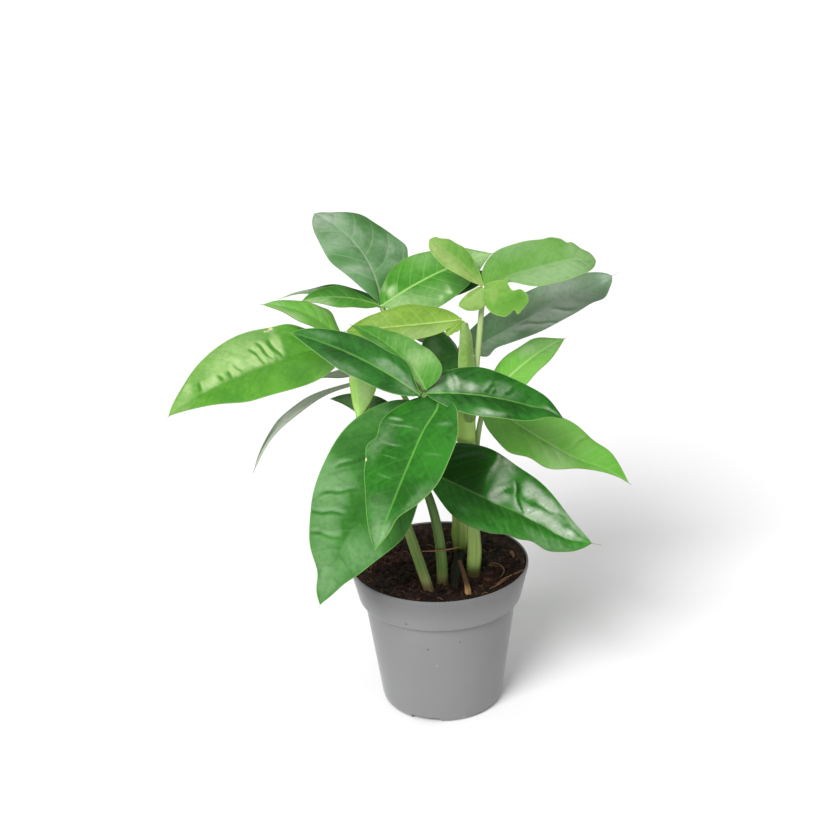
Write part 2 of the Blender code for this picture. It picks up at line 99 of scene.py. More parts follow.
LEAVES = {
    "front": Leaf(
        (-7, -50, 242), "mature", (9.4, -0.2, 152), (8, -2, 205), 2.4, 2.0,
        {
            "left": Leaflet(
                (-88, -25, 275), (16.5, 15.5), (0.7, 0.9), (0.95, 0.8), roll=-25, arch=4, bow=1.5,
                root=(-2, -1, -1), crumple=0.4, rib=0.6, bumps=((1, 0.2, 0.12, 0.5),),
                tones=(
                    (0.25, 0.31, 0.3, 0.1, 0.42), (0.25, 0.12, 0.35, 0.1, 0.42),
                    (0.5, 0.8, 0.3, 0.1, 0.2), (-0.2, 0.08, 0.4, 0.1, 0.3),
                    (-0.8, 0.55, 0.3, 0.15, 0.2), (0.8, 0.5, 0.3, 0.3, -0.3),
                    (-0.25, 0.6, 0.3, 0.35, -0.3),
                ),
            ),
            "back": Leaflet(
                (-52, 5, 269), (9, 16.5), (1.0, 0.38), (0.9, 1.1), roll=-20, fold=25, arch=3, bow=5,
                root=(1.5, 1, 1.5), wave=(1.4, 3.4, 0.4), pitch=8, rib=0.3,
                bumps=(
                    (-1, 0.5, 0.04, 0.15), (-1, 0.42, 0.03, -0.2), (1, 0.55, 0.08, -0.12),
                    (1, 0.1, 0.1, 0.15),
                ),
                tones=(
                    (0.7, 0.28, 0.4, 0.12, 0.4), (0.25, 0.3, 0.25, 0.12, 0.45),
                    (-0.3, 0.2, 0.6, 0.15, 0.45), (-0.4, 0.4, 0.5, 0.08, -0.3),
                    (0.5, 0.55, 0.5, 0.1, 0.15), (0, 0.5, 1.5, 0.6, 0.06),
                ),
                look="fresh",
            ),
            "right": Leaflet(
                (79, -45, 219.5), (25.3, 21), (0.5, 0.7), (0.82, 0.97), roll=20, arch=6,
                bow=1, crumple=0.5, root=(1, 0, 0), rib=0.75, bends=((0.88, 0.1, (0, 0, 2)),),
                tones=(
                    (-0.22, 0.305, 0.19, 0.05, 1.0), (-0.45, 0.2, 0.3, 0.015, 0.9),
                    (-0.4, 0.16, 0.3, 0.015, 0.8), (-0.3, 0.2, 0.4, 0.06, 0.5),
                    (-0.5, 0.07, 0.7, 0.05, 0.6), (0.8, 0.43, 0.2, 0.1, 0.9),
                    (0, 0.9, 0.25, 0.05, 0.8), (-0.3, 0.5, 0.35, 0.14, 0.25),
                    (0.25, 0.5, 0.35, 0.4, -0.5), (-0.75, 0.35, 0.3, 0.2, -0.2),
                    (0.4, 0.1, 0.5, 0.07, 0.2),
                ),
                creases=(
                    (-0.1, 0.39, -0.55, 0.47, 0.6), (-0.15, 0.53, -0.5, 0.6, 0.45),
                    (-0.12, 0.44, -0.3, 0.48, 0.4),
                ),
            ),
            "middle": Leaflet(
                (-39, -110, 166), (27, 31), (0.75, 0.4), (1.3, 0.8), arch=10, bow=-5,
                root=(9, -1, -2), bends=((0.1, 0.1, (3, 0, 1)),), pitch=10, rib=0.7, sweep=0.45,
                steps=((1, 0.375, 0.012, 0.11),),
                bumps=(
                    (1, 0.2, 0.12, 0.17), (1, 0.44, 0.06, 0.07), (1, 0.6, 0.08, 0.04),
                    (-1, 0.8, 0.08, -0.35), (-1, 0.55, 0.1, 0.06), (-1, 0.13, 0.08, -0.15),
                ),
                tones=(
                    (0.72, 0.2, 0.16, 0.012, 0.8), (0.45, 0.25, 0.3, 0.007, 0.5),
                    (0.5, 0.37, 0.2, 0.009, 0.4), (0.4, 0.47, 0.17, 0.009, 0.6),
                    (0.4, 0.585, 0.16, 0.008, 0.4), (-0.55, 0.2, 0.2, 0.015, 0.3),
                    (-0.55, 0.4, 0.2, 0.008, 0.2), (0, 0.93, 0.8, 0.08, 0.55),
                    (0.4, 0.8, 0.5, 0.09, 0.22), (-0.5, 0.88, 0.6, 0.08, 0.3),
                    (0.8, 0.38, 0.25, 0.14, 0.28), (-0.85, 0.66, 0.25, 0.1, 0.25),
                    (0.3, 0.5, 0.35, 0.1, -0.35), (0.3, 0.1, 0.5, 0.1, -0.25),
                ),
                scars=((1.0, 0.52, 1.2),), look="glossy",
            ),
        },
    ),
    "hanging": Leaf(
        (-7, -28, 226), "grown", (3.5, 2.1, 152), (-3, -6, 195), 2.4, 2.0,
        {
            "middle": Leaflet(
                (-76, -80, 114), (29, 36), (0.9, 0.55), (1.1, 0.9), roll=-38, arch=12, bow=-7,
                pitch=13.5, sweep=0.4, quilt=0.9, wave=(1.2, 3.5, 0.3), rib=0.12,
                bumps=((-1, 0.55, 0.14, 0.16), (-1, 0.88, 0.06, -0.12), (1, 0.88, 0.07, -0.35)),
                tones=(
                    (0.7, 0.52, 0.6, 0.16, 0.45), (0.5, 0.78, 0.7, 0.14, 0.35),
                    (0, 0.9, 0.9, 0.09, 0.5), (-0.5, 0.72, 0.6, 0.09, 0.4),
                    (0.15, 0.3, 0.5, 0.12, -0.7), (0.6, 0.1, 0.6, 0.1, 0.2),
                    (0.12, 0.55, 0.16, 0.25, -0.3), (-0.2, 0.45, 0.4, 0.1, -0.5),
                    (0.8, 0.33, 0.4, 0.05, -0.35),
                ),
                creases=(
                    (0.3, 0.31, 0.85, 0.43, 0.6), (0.2, 0.46, 0.9, 0.555, 0.6),
                    (0.2, 0.575, 0.95, 0.64, 0.55), (0.12, 0.68, 0.8, 0.715, 0.4),
                ),
            ),
        },
    ),
    "low": Leaf(
        (-16, -22, 184), "mature", (1.5, -23.5, 94), (3, -26, 150), 3.9, 2.3,
        {
            "right": Leaflet(
                (98, -40, 133), (34, 24), (0.55, 1.05), (0.9, 0.9), roll=36, fold=16, arch=-1,
                bow=4, drip=7, crumple=0.8, pitch=13, rib=0.5, bends=((0.86, 0.15, (0, 0, -5)),),
                bumps=(
                    (-1, 0.5, 0.12, -0.06), (1, 0.3, 0.15, 0.25), (1, 0.7, 0.07, -0.26),
                    (1, 0.58, 0.06, -0.16), (1, 0.86, 0.08, -0.16),
                ),
                tones=(
                    (-0.3, 0.13, 0.8, 0.29, -1.0, 5), (-0.8, 0.385, 0.6, 0.014, 0.9),
                    (-0.5, 0.43, 0.5, 0.055, 0.6), (-0.18, 0.475, 0.17, 0.05, 1.0),
                    (-0.13, 0.67, 0.17, 0.1, 1.1), (-0.2, 0.83, 0.22, 0.1, 1.0),
                    (-0.62, 0.62, 0.2, 0.05, 0.8), (-0.6, 0.73, 0.22, 0.07, 1.1),
                    (-0.92, 0.46, 0.14, 0.05, 0.7), (-0.9, 0.88, 0.3, 0.1, 0.5),
                    (-0.4, 0.64, 0.08, 0.1, -0.3), (0.2, 0.5, 0.2, 0.3, -0.4),
                    (0.7, 0.78, 0.4, 0.12, 0.2),
                ),
                creases=(
                    (-0.02, 0.585, -0.35, 0.525, 1.0), (-0.33, 0.53, -0.68, 0.5, 0.9),
                    (-0.06, 0.41, -0.45, 0.495, 0.6), (-0.3, 0.6, -0.42, 0.8, 0.4),
                ),
                look="lower",
            ),
            "left": Leaflet(
                (-70, 40, 205), (4, 15), roll=-30, arch=10, pitch=7, tones=((0, 0.8, 1.5, 0.3, 0.3),)
            ),
        },
    ),
    "right": Leaf(
        (33, 5, 213), "fresh", (25.5, 1.5, 172), (27, 1.5, 196), 2.0, 1.6,
        {
            "front": Leaflet(
                (125, -10, 158), (22, 20), (0.9, 0.4), (1.0, 1.6), roll=35, fold=16, arch=-3,
                wave=(1.5, 2.6, 0.5), pitch=11, rib=0.4, bends=((0.85, 0.14, (1, 0, 3)),),
                bumps=(
                    (1, 0.27, 0.1, 0.3), (1, 0.52, 0.1, 0.36), (1, 0.62, 0.08, 0.12),
                    (-1, 0.82, 0.08, 0.1),
                ),
                tones=(
                    (0.5, 0.55, 0.6, 0.13, 0.35), (-0.5, 0.76, 0.5, 0.12, 0.1),
                    (0.12, 0.3, 0.1, 0.06, -0.5), (0.12, 0.42, 0.08, 0.03, -0.4),
                    (0, 0.9, 1.2, 0.16, -0.3),
                ),
                creases=((-0.25, 0.58, -0.85, 0.66, 0.35),),
                look="tender",
            ),
            "back": Leaflet(
                (88, 45, 241), (13.5, 12.5), roll=20, arch=6, bow=1.5, pitch=8, rib=1.0,
                bumps=((1, 0.3, 0.12, 0.2), (-1, 0.8, 0.12, 0.25)),
                tones=((-0.5, 0.62, 0.4, 0.09, 0.5), (0, 0.85, 1.0, 0.16, 0.3)),
                look="tender",
            ),
        },
    ),
    "crown": Leaf(
        (33, 10, 290), "young", (22.3, 3, 196), (28, 5, 240), 2.3, 1.7,
        {
            "right": Leaflet(
                (105, 20, 301), (20.5, 16), (0.4, 0.9), (0.55, 0.5), roll=38, fold=16, arch=4,
                drip=0.5, pitch=8, rib=0.0, bends=((0.8, 0.2, (0, 0, 2.2)),),
                bumps=(
                    (-1, 0.18, 0.14, 0.14), (-1, 0.5, 0.14, 0.05), (-1, 0.66, 0.05, 0.06),
                    (-1, 0.78, 0.03, -0.16), (-1, 0.9, 0.07, -0.25), (1, 0.2, 0.12, -0.5),
                    (1, 0.45, 0.1, 0.08),
                ),
                tones=(
                    (0.5, 0.6, 0.8, 0.5, 0.65), (-0.9, 0.35, 0.35, 0.25, 0.35),
                    (-0.6, 0.9, 0.9, 0.14, 0.45), (-0.25, 0.6, 0.3, 0.2, 0.15),
                ),
            ),
            "left": Leaflet(
                (0, 20, 319), (10, 10), point=(0.5, 0.5), roll=-40, arch=2, drip=0.5, pitch=6,
                bumps=((1, 0.9, 0.09, -0.35), (1, 0.7, 0.1, -0.12)), rib=0.0,
                tones=(
                    (-0.6, 0.45, 0.7, 0.6, 0.75), (0, 0.92, 1.0, 0.14, 0.45),
                    (0, 0.05, 1.0, 0.12, 0.7),
                ),
                look="soft",
            ),
            "right_ear": Leaflet(
                (60, -5, 284), (8, 15), (0.5, 0.5), (0.5, 0.5), roll=58, drip=0.5, pitch=6,
                bumps=(
                    (-1, 0.41, 0.035, 0.42), (-1, 0.6, 0.13, -0.5), (1, 0.8, 0.07, -0.35),
                    (1, 0.92, 0.04, 0.2),
                ),
                rib=0.0,
                tones=((0, 0.2, 0.8, 0.22, 0.45), (0, 0.75, 0.5, 0.12, -0.5)), look="soft",
            ),
            "left_ear": Leaflet(
                (17, 0, 281), (10, 3), (0.5, 0.5), (0.5, 0.5), roll=-50, drip=0.5, pitch=5, rib=0.2,
                tones=((0, 0.5, 1.5, 0.8, 0.6),), look="soft",
            ),
        },
    ),
    "tall": Leaf(
        (-33, 48, 268), "old", (9.9, 10, 152), (-10, 25, 225), 2.4, 1.8,
        {
            "back": Leaflet(
                (-77, 100, 317), (25, 34), (0.75, 0.65), (0.55, 0.7), fold=6, arch=4, bow=10,
                drip=0.5, pitch=15, rib=0.6, sweep=0.5,
                bumps=(
                    (1, 0.8, 0.08, 0.12), (1, 0.46, 0.06, 0.1), (1, 0.95, 0.06, -0.25),
                    (-1, 0.4, 0.16, 0.12),
                ),
                tones=(
                    (0, 0.95, 1.1, 0.13, 0.75), (-0.4, 0.68, 0.6, 0.1, 0.3),
                    (0.8, 0.48, 0.4, 0.07, 0.5), (0.8, 0.7, 0.34, 0.1, -0.5),
                    (-0.75, 0.5, 0.35, 0.07, -0.7), (0, 0.08, 1.2, 0.14, -1.0),
                    (0.7, 0.33, 0.3, 0.05, 0.3), (-0.4, 0.32, 0.7, 0.05, 0.45),
                    (-0.5, 0.42, 0.5, 0.04, -0.5), (0.3, 0.2, 0.3, 0.1, -0.5),
                    (0.85, 0.6, 0.25, 0.2, -0.5), (0.25, 0.72, 0.2, 0.15, 0.3),
                ),
            ),
            "right": Leaflet((46, 60, 284), (10, 10), roll=40, pitch=8, look="mature"),
            "left": Leaflet(
                (-99, 50, 274), (12, 12), (1.3, 0.9), (1.6, 1.6), arch=7, pitch=8,
                tones=((0, 0.9, 1.5, 0.3, 1.0), (0.7, 0.3, 0.8, 0.25, -0.6)), look="mature",
            ),
        },
    ),
    "fresh": Leaf(
        (-33, 38, 270), "fresh", (13.4, 4.7, 152), (-6, 16, 225), 2.3, 1.7,
        {
            "right": Leaflet(
                (41, 60, 297), (22, 27), (0.55, 0.8), (1.0, 1.15), roll=30, arch=5, bow=2.5,
                pitch=10, rib=1.1, sweep=0.5, bumps=((-1, 0.75, 0.1, 0.14), (-1, 0.08, 0.08, -0.1)),
                tones=(
                    (-0.3, 0.12, 0.26, 0.045, 1.0), (-0.85, 0.1, 0.25, 0.05, 0.5),
                    (0.72, 0.5, 0.12, 0.03, 0.9), (0.8, 0.42, 0.1, 0.03, 0.6),
                    (0.4, 0.1, 0.8, 0.14, 0.65), (0.8, 0.3, 0.5, 0.2, 0.4),
                    (-0.8, 0.5, 0.4, 0.12, 0.25), (0, 0.92, 1.2, 0.12, 0.8),
                ),
            ),
            "left": Leaflet(
                (-84, 30, 278), (11, 11), (0.9, 1.4), (1.0, 1.0), roll=-22, arch=4, pitch=8,
                tones=((0.6, 0.45, 0.7, 0.4, -1.2), (-0.5, 0.85, 0.8, 0.2, 0.7)), look="fresh",
            ),
        },
    ),
    "pale": Leaf(
        (19, 5, 270), "yellow", (19.3, -1.3, 196), (21, 1.5, 235), 2.3, 1.8,
        {
            "left": Leaflet(
                (-56, 25, 258), (17, 19), (0.8, 0.8), (0.8, 0.8), roll=-25, arch=0, bow=-1,
                pitch=10, rib=0.9, sweep=0.5,
                tones=((0.3, 0.75, 0.8, 0.15, 0.2), (-0.7, 0.35, 0.5, 0.25, 0.5)),
            ),
            "ear": Leaflet((9, -4, 263), (5, 5), (0.5, 0.5), (0.5, 0.5), drip=0.5, pitch=5),
        },
    ),
    "left": Leaf(
        (-57, 10, 254), "bright", (-7, -31.5, 94), (-36, -14, 190), 3.6, 2.2,
        {
            "front": Leaflet(
                (-171, -10, 216), (26, 27.5), (0.55, 0.9), (1.2, 0.9), roll=-38, fold=14, arch=8,
                bow=-1, crumple=0.35, quilt=0.45, pitch=11, rib=-0.45,
                bumps=((1, 0.24, 0.07, 0.14), (-1, 0.6, 0.1, 0.08), (1, 0.9, 0.1, -0.12)),
                tones=(
                    (0.75, 0.6, 0.5, 0.26, 0.45), (0.35, 0.335, 0.5, 0.02, 0.7),
                    (0.2, 0.385, 0.22, 0.02, 0.9), (0.14, 0.47, 0.16, 0.05, 0.9),
                    (0.25, 0.43, 0.4, 0.04, 0.4), (0.18, 0.57, 0.18, 0.025, 0.8),
                    (0.3, 0.5, 0.4, 0.1, 0.3), (0.2, 0.73, 0.25, 0.05, 0.9),
                    (0.6, 0.85, 0.3, 0.035, 0.7), (0.3, 0.62, 0.4, 0.1, 0.35),
                    (0, 0.93, 1.0, 0.09, 0.45), (-0.3, 0.1, 0.6, 0.14, -0.6),
                    (-0.4, 0.47, 0.4, 0.06, -0.3), (-0.9, 0.13, 0.2, 0.1, 0.3),
                ),
                creases=(
                    (0.03, 0.325, 0.65, 0.37, 1.0), (0.05, 0.37, 0.7, 0.43, 1.0),
                    (0.03, 0.415, 0.6, 0.47, 1.0), (0.06, 0.54, 0.38, 0.57, 0.9),
                    (0.03, 0.6, 0.26, 0.615, 0.8), (0.06, 0.65, 0.27, 0.665, 0.8),
                    (0.1, 0.775, 0.35, 0.77, 0.8),
                ),
                scars=((0.9, 0.36, 1.7), (0.95, 0.335, 1.1)),
            ),
            "back": Leaflet(
                (-108, 15, 281), (12.5, 14), roll=-10, arch=7, pitch=8, rib=0.0,
                bumps=((1, 0.29, 0.11, 0.5),),
                tones=(
                    (0, 0.88, 0.9, 0.13, 0.3), (-0.8, 0.66, 0.35, 0.14, 0.5),
                    (0.8, 0.35, 0.3, 0.14, 0.25),
                ),
                look="tender",
            ),
        },
    ),
    "drooping": Leaf(
        (-27, 25, 225), "dull", (3.8, 8.4, 152), (-8, 12, 195), 2.3, 1.6,
        {
            "front": Leaflet(
                (-121, 10, 168), (5, 5), (1.3, 1.3), (0.9, 0.9), roll=-10, arch=15, hook=8,
                pitch=8, bumps=((1, 0.72, 0.1, 0.6),),
                tones=(
                    (0, 0.4, 1.5, 0.3, 0.9), (-0.6, 0.8, 0.6, 0.2, -0.3), (0.5, 0.85, 0.8, 0.2, -1.0),
                ),
            ),
            "back": Leaflet((-85, 28, 223), (8, 8), arch=4, pitch=8, tones=((0.2, 0.7, 1, 0.3, 0.5),)),
        },
    ),
    "back": Leaf(
        (17, 40, 233), "old", (15.7, 3.2, 196), (27, 25, 209), 2.6, 1.9,
        {
            "right": Leaflet(
                (122, 72, 275), (20, 14.5), (0.5, 0.75), (0.55, 0.5), roll=30, fold=5, arch=2,
                drip=6, pitch=12, rib=-0.5,
                bumps=((1, 0.9, 0.06, 0.35), (1, 0.12, 0.05, 0.8), (1, 0.47, 0.12, 0.1)),
                tones=(
                    (0.4, 0.55, 0.7, 0.26, 0.75), (0.4, 0.1, 0.9, 0.12, 0.4),
                    (0.85, 0.36, 0.25, 0.07, -0.6), (0.75, 0.92, 0.4, 0.05, -0.6),
                    (-0.12, 0.35, 0.14, 0.3, -0.4), (-0.5, 0.7, 0.7, 0.12, 0.6),
                    (-0.5, 0.2, 0.6, 0.2, -0.35), (0, 0.97, 0.6, 0.04, 0.6),
                ),
                creases=((0.1, 0.36, 0.85, 0.56, 0.6), (0.1, 0.55, 0.7, 0.68, 0.5)),
                look="grey",
            ),
            "front": Leaflet(
                (-6, 10, 231), (20, 20), (0.45, 0.45), (0.8, 0.8), roll=-50, arch=4, pitch=8,
                tones=((0.5, 0.5, 0.3, 0.15, 0.5),), look="shaded",
            ),
            "left": Leaflet(
                (-18, 70, 245), (12, 12), arch=2, pitch=8, tones=((0, 0.5, 1, 0.6, 1.0),)
            ),
        },
    ),
}

# The sheathed stems: (x, y, z, radius) from the foot to the domed top that the stalks rise from.
STEMS = {
    "left_stem": (
        (14.5, 19, 94, 4.8), (14.5, 19, 98, 4.5), (14.5, 16, 112, 5.4), (14, 12, 130, 4.7),
        (10.5, 7.5, 146, 6.6), (8, 5, 155, 7.8), (8, 5, 160, 7.2), (8, 5, 164, 4.5),
    ),
    "right_stem": (
        (22.5, -11, 94, 5.0), (22.5, -11, 98, 4.8), (23.5, -9, 110, 4.8), (23, -7, 130, 4.2),
        (22, -3, 160, 4.8), (20.5, 0.5, 182, 5.6), (19, 1, 200, 7.0), (19, 1, 207, 6.6),
        (19, 1, 211, 4.0),
    ),
}
STUB = (
    (17.8, -36.6, 94.5, 2.2), (17.8, -36.6, 97.5, 2.0), (16, -31, 105, 1.5), (13, -25, 114, 1.2),
)
# Painted shade: a dark tube like an old stem, which creeps along the mix between the others, half
# sunk in it, and stands for the shade there.
PAINTED_SHADE_STEM = ((9.4, -27.5, 93, 3.2), (10, -23, 96, 4.0), (12, -6, 98.5, 4.4), (14.5, 13, 99.5, 3.4))
# The winged sheaths on two of the stalks: the lower end, and the blade that rises from it.
SHEATHS = {
    "pale_sheath": (
        (23.2, -6, 203),
        Leaflet(
            (21, -1.5, 270), (6.2, 6.2), (0.2, 0.2), (0.3, 0.3), fold=-14, quilt=0, drip=0.5,
            crumple=0.1, rib=-0.3, bumps=((-1, 0.3, 0.2, -0.15), (1, 0.95, 0.06, -0.3)),
            tones=((0, 0.9, 1.5, 0.15, 0.3), (0.85, 0.4, 0.25, 0.4, 0.5), (0.2, 0.4, 0.4, 0.3, -0.4)),
        ),
    ),
    "left_sheath": (
        (-49.5, -11, 211),
        Leaflet(
            (-51, 0, 252), (4, 15), (0.6, 0.9), (0.5, 0.6), fold=-10, quilt=0, drip=0.5,
            crumple=0.1, scars=((-0.6, 0.75, 1.6), (-0.7, 0.62, 1.2)), look="bract",
            tones=((0.5, 0.5, 0.4, 0.4, 0.4),),
        ),
    ),
}


def to_linear(hex_colour):
    """A linear RGB triple from an sRGB hex string such as "#3a9a30"."""
    parts = [int(hex_colour[i : i + 2], 16) / 255 for i in (1, 3, 5)]
    return tuple(c / 12.92 if c <= 0.04045 else ((c + 0.055) / 1.055) ** 2.4 for c in parts)


# Each look of a blade: its darker and its lighter green, its veins, its underside, its margin, the
# pale green of its painted sheen and highlights, partly silvery wax, and the deeper green of its
# painted shade, also used for a dark midrib, how rough its wax is, how much of the vein colour shows
# on the side veins, and how strong its gloss is. Young leaves are yellower and softer, and the oldest
# are grey: partly bloom and partly painted sheen, from what they reflect at a grazing angle.
Look = namedtuple("Look", "deep light vein under edge shine shade roughness vein_share gloss")
LOOKS = {
    "mature": Look(
        "#1c5114", "#2c7022", "#72a650", "#4a7a3c", "#84ad62", "#9db092", "#153a0c", 0.27, 0.05, 0.15
    ),
    "glossy": Look(
        "#23581a", "#307423", "#68a545", "#4a7a3c", "#7fae5a", "#93b486", "#1b4c12", 0.27, 0.07, 0.15
    ),
    "lower": Look(
        "#29681a", "#377f28", "#6ba04c", "#4a7a3c", "#6c7450", "#a9b9a0", "#1c4a10", 0.27, 0.06, 0.15
    ),
    "grown": Look(
        "#2d6620", "#427b33", "#24601a", "#558744", "#74a356", "#7ea373", "#22581a", 0.34, 0.4, 0.2
    ),
    "shaded": Look(
        "#336827", "#437f35", "#5c8c46", "#4a7a3a", "#6a9454", "#86a67c", "#224c18", 0.5, 0.05, 0.2
    ),
    "fresh": Look(
        "#397a20", "#4d8b2e", "#8dbb62", "#6b9850", "#7a8c50", "#a2c084", "#2f6a18", 0.36, 0.22, 0.2
    ),
    "tender": Look(
        "#5fa535", "#70ac45", "#9cc474", "#7ba458", "#7f8058", "#a5bd8c", "#47822a", 0.4, 0.16, 0.25
    ),
    "bright": Look(
        "#448026", "#57932e", "#94bd68", "#7aa254", "#8aa860", "#9cba74", "#3a6f1c", 0.32, 0.03, 0.2
    ),
    "young": Look(
        "#4a8229", "#5e8f3a", "#8aaa64", "#7a9f54", "#86a862", "#8ba67a", "#417a22", 0.45, 0.12, 0.25
    ),
    "soft": Look(
        "#53872b", "#68993c", "#98b468", "#86a858", "#9aae60", "#94ac58", "#477c24", 0.45, 0.08, 0.25
    ),
    "yellow": Look(
        "#688f30", "#7fa43c", "#a5c070", "#86a454", "#94b058", "#9ab078", "#5c8628", 0.42, 0.2, 0.25
    ),
    "sheath": Look(
        "#6c933e", "#86a956", "#a9c27c", "#8aa864", "#a9c088", "#a0b880", "#5c8234", 0.42, 0.3, 0.25
    ),
    "bract": Look(
        "#96c85c", "#a8d870", "#bcdc8c", "#b0d080", "#8a7a50", "#c8dcb0", "#8cbc54", 0.45, 0.3, 0.25
    ),
    "old": Look(
        "#517c48", "#6a9564", "#9cb492", "#6f8d6b", "#7d9276", "#9fad98", "#3f7532", 0.42, 0.22, 0.3
    ),
    "grey": Look(
        "#587a54", "#708d6c", "#98ab92", "#6f8d6b", "#8a9584", "#9fb09c", "#466e42", 0.42, 0.15, 0.3
    ),
    "dull": Look(
        "#b2bcaa", "#c6ccbe", "#c8cdc0", "#b6bbae", "#8a9484", "#d0d2c8", "#4f6b45", 0.5, 0.08, 0.3
    ),
}


class PotSettings(bpy.types.PropertyGroup):
    """Sizes and colour of the grow pot."""

    rim_radius: FloatProperty(
        name="Rim radius",
        description="Outer radius of the pot at its rim",
        default=60.0 * MM,
        unit="LENGTH",
    )
    height: FloatProperty(
        name="Height", description="Height of the pot", default=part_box("pot")[1].z, unit="LENGTH"
    )
    plastic: FloatVectorProperty(
        name="Plastic",
        description="Colour of the pot's plastic",
        default=to_linear("#808081"),
        subtype="COLOR",
    )


class SoilSettings(bpy.types.PropertyGroup):
    """The potting mix and what lies on it."""

    level: FloatProperty(
        name="Level",
        description="Height of the potting mix at the middle of the pot",
        default=95.0 * MM,
        unit="LENGTH",
    )
    crumbs: IntProperty(
        name="Crumbs", description="How many crumbs lie on the potting mix", default=3000
    )
    lumps: IntProperty(
        name="Lumps", description="How many bark lumps lie on the potting mix", default=420
    )
    fibres: IntProperty(
        name="Fibres", description="How many coir fibres lie on the potting mix", default=60
    )
    peat: FloatVectorProperty(
        name="Peat",
        description="Colour of the damp peat",
        default=to_linear("#352019"),
        subtype="COLOR",
    )


class LeafSettings(bpy.types.PropertyGroup):
    """Sizes that all the leaflets share."""

    thickness: FloatProperty(
        name="Blade thickness",
        description="Thickness of a leaflet away from its veins",
        default=0.55 * MM,
        unit="LENGTH",
    )
    groove: FloatProperty(
        name="Midrib groove",
        description="Depth of the groove along a leaflet's midrib",
        default=0.45 * MM,
        unit="LENGTH",
    )
    mesh_step: FloatProperty(
        name="Mesh step",
        description="Distance between the mesh rows of a leaflet",
        default=0.85 * MM,
        unit="LENGTH",
    )


class StageSettings(bpy.types.PropertyGroup):
    """The floor and the lights."""

    floor_colour: FloatVectorProperty(
        name="Floor",
        description="Colour of the plain floor",
        default=to_linear("#f2f2f2"),
        subtype="COLOR",
    )
    key_strength: FloatProperty(
        name="Key light", description="Strength of the main light", default=3.3
    )
    fill_strength: FloatProperty(
        name="Fill light", description="Strength of the light from all round", default=0.56
    )


# Shared tools.

def fill_inputs(tree, node, inputs):
    """Gives each input of a node a link from a socket, an sRGB hex colour or a plain value."""
    for key, value in inputs.items():
        if isinstance(value, bpy.types.NodeSocket):
            tree.links.new(value, node.inputs[key])
        elif isinstance(value, str) and value.startswith("#"):
            node.inputs[key].default_value = (*to_linear(value), 1)
        else:
            node.inputs[key].default_value = value


def add_node(tree, kind, inputs=None, **settings):
    """Adds a node, sets its settings and fills its inputs."""
    node = tree.nodes.new(kind)
    for name, value in settings.items():
        setattr(node, name, value)
    fill_inputs(tree, node, inputs or {})
    return node


def new_material(name):
    """A material, its tree and its Principled shader, which is already on the output."""
    material = bpy.data.materials.new(name)
    material.use_nodes = True
    tree = material.node_tree
    return material, tree, tree.nodes["Principled BSDF"]


def link_object(obj):
    bpy.context.scene.collection.objects.link(obj)
    return obj


def finished(shape, name):
    """A mesh object in the scene made from a bmesh, which goes."""
    mesh = bpy.data.meshes.new(name)
    shape.to_mesh(mesh)
    shape.free()
    return link_object(bpy.data.objects.new(name, mesh))


def ring_of(shape, radius, steps, height):
    """A ring of new points about Z in a bmesh; height is in millimetres, or a function of x and y."""
    ring = []
    for k in range(steps):
        x = radius * math.cos(2 * math.pi * k / steps)
        y = radius * math.sin(2 * math.pi * k / steps)
        z = height(x, y) if callable(height) else height
        ring.append(shape.verts.new((x * MM, y * MM, z * MM)))
    return ring


def hand_over(piece, slot, *nodes):
    """Makes a finished piece ride with the plant and stand for its CAD nodes; its slot is not used."""
    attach(piece, "root")
    if nodes:
        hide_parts(*nodes)


def baked(obj, name):
    """A plain mesh object from what obj's modifiers make of it; obj itself goes."""
    graph = bpy.context.evaluated_depsgraph_get()
    mesh = bpy.data.meshes.new_from_object(obj.evaluated_get(graph), depsgraph=graph)
    mesh.name = name
    bpy.data.objects.remove(obj)
    return link_object(bpy.data.objects.new(name, mesh))


def unit(vectors):
    return vectors / np.linalg.norm(vectors, axis=-1, keepdims=True)


def ripple(x, y, seed, scale):
    """Smooth uneven noise of about -1 to 1 from crossed sine waves; scale is in millimetres."""
    waves, usual_peak = 7, 3.2
    draw = np.random.default_rng(seed)
    total = np.zeros(np.broadcast(x, y).shape)
    for _ in range(waves):
        turn, phase = draw.uniform(0, 2 * math.pi, 2)
        length = scale * draw.uniform(0.6, 1.7)
        wave = (x * math.cos(turn) + y * math.sin(turn)) * 2 * math.pi / length
        total += np.sin(wave + phase + 0.7 * np.sin(wave * 0.37 + turn))
    return total / usual_peak


# Blades.

# How far from the hub a blade starts, how far a half curls down at its margin as a share of its
# width, and how far the left margin's waves are out of step with the right's, as a share of a wave.
BLADE_START = 0.5
CURL = 0.15
WAVE_SHIFT = 0.31
# A leaflet's neck, its half width at the hub, is its stalk's radius. A sheath's is this.
SHEATH_NECK = 1.4
# The fewest and the most rows of mesh along a blade, and columns across a half.
ROWS = (30, 150)
COLUMNS = (8, 24)
# The blade thins to this share of its thickness over a strip along its margin.
MARGIN_THINNESS, MARGIN_STRIP = 0.45, 2.0
# The midrib's groove in the upper face, and its rib under the blade.
GROOVE_WIDTH = 1.1
RIB_WIDTH, RIB_HEIGHT = 1.0, 0.9
# The side veins curve to the tip with the square of their distance from the midrib. Their relief
# fades in over the first of these lengths from the midrib, and out over the second to the margin.
# Their ridge's width is a share of their spacing.
VEIN_CURVE = 0.011
VEIN_START, VEIN_END = 2.5, 5
RIDGE_WIDTH, RIDGE_HEIGHT = 0.06, 0.25
# How far a side vein drifts from its even line and over what length, and the lengths over which the
# swellings vary and the wrinkles run.
VEIN_DRIFT, DRIFT_LENGTH = 1.1, 60
SWELL_LENGTH, WRINKLE_LENGTH = 26, 9
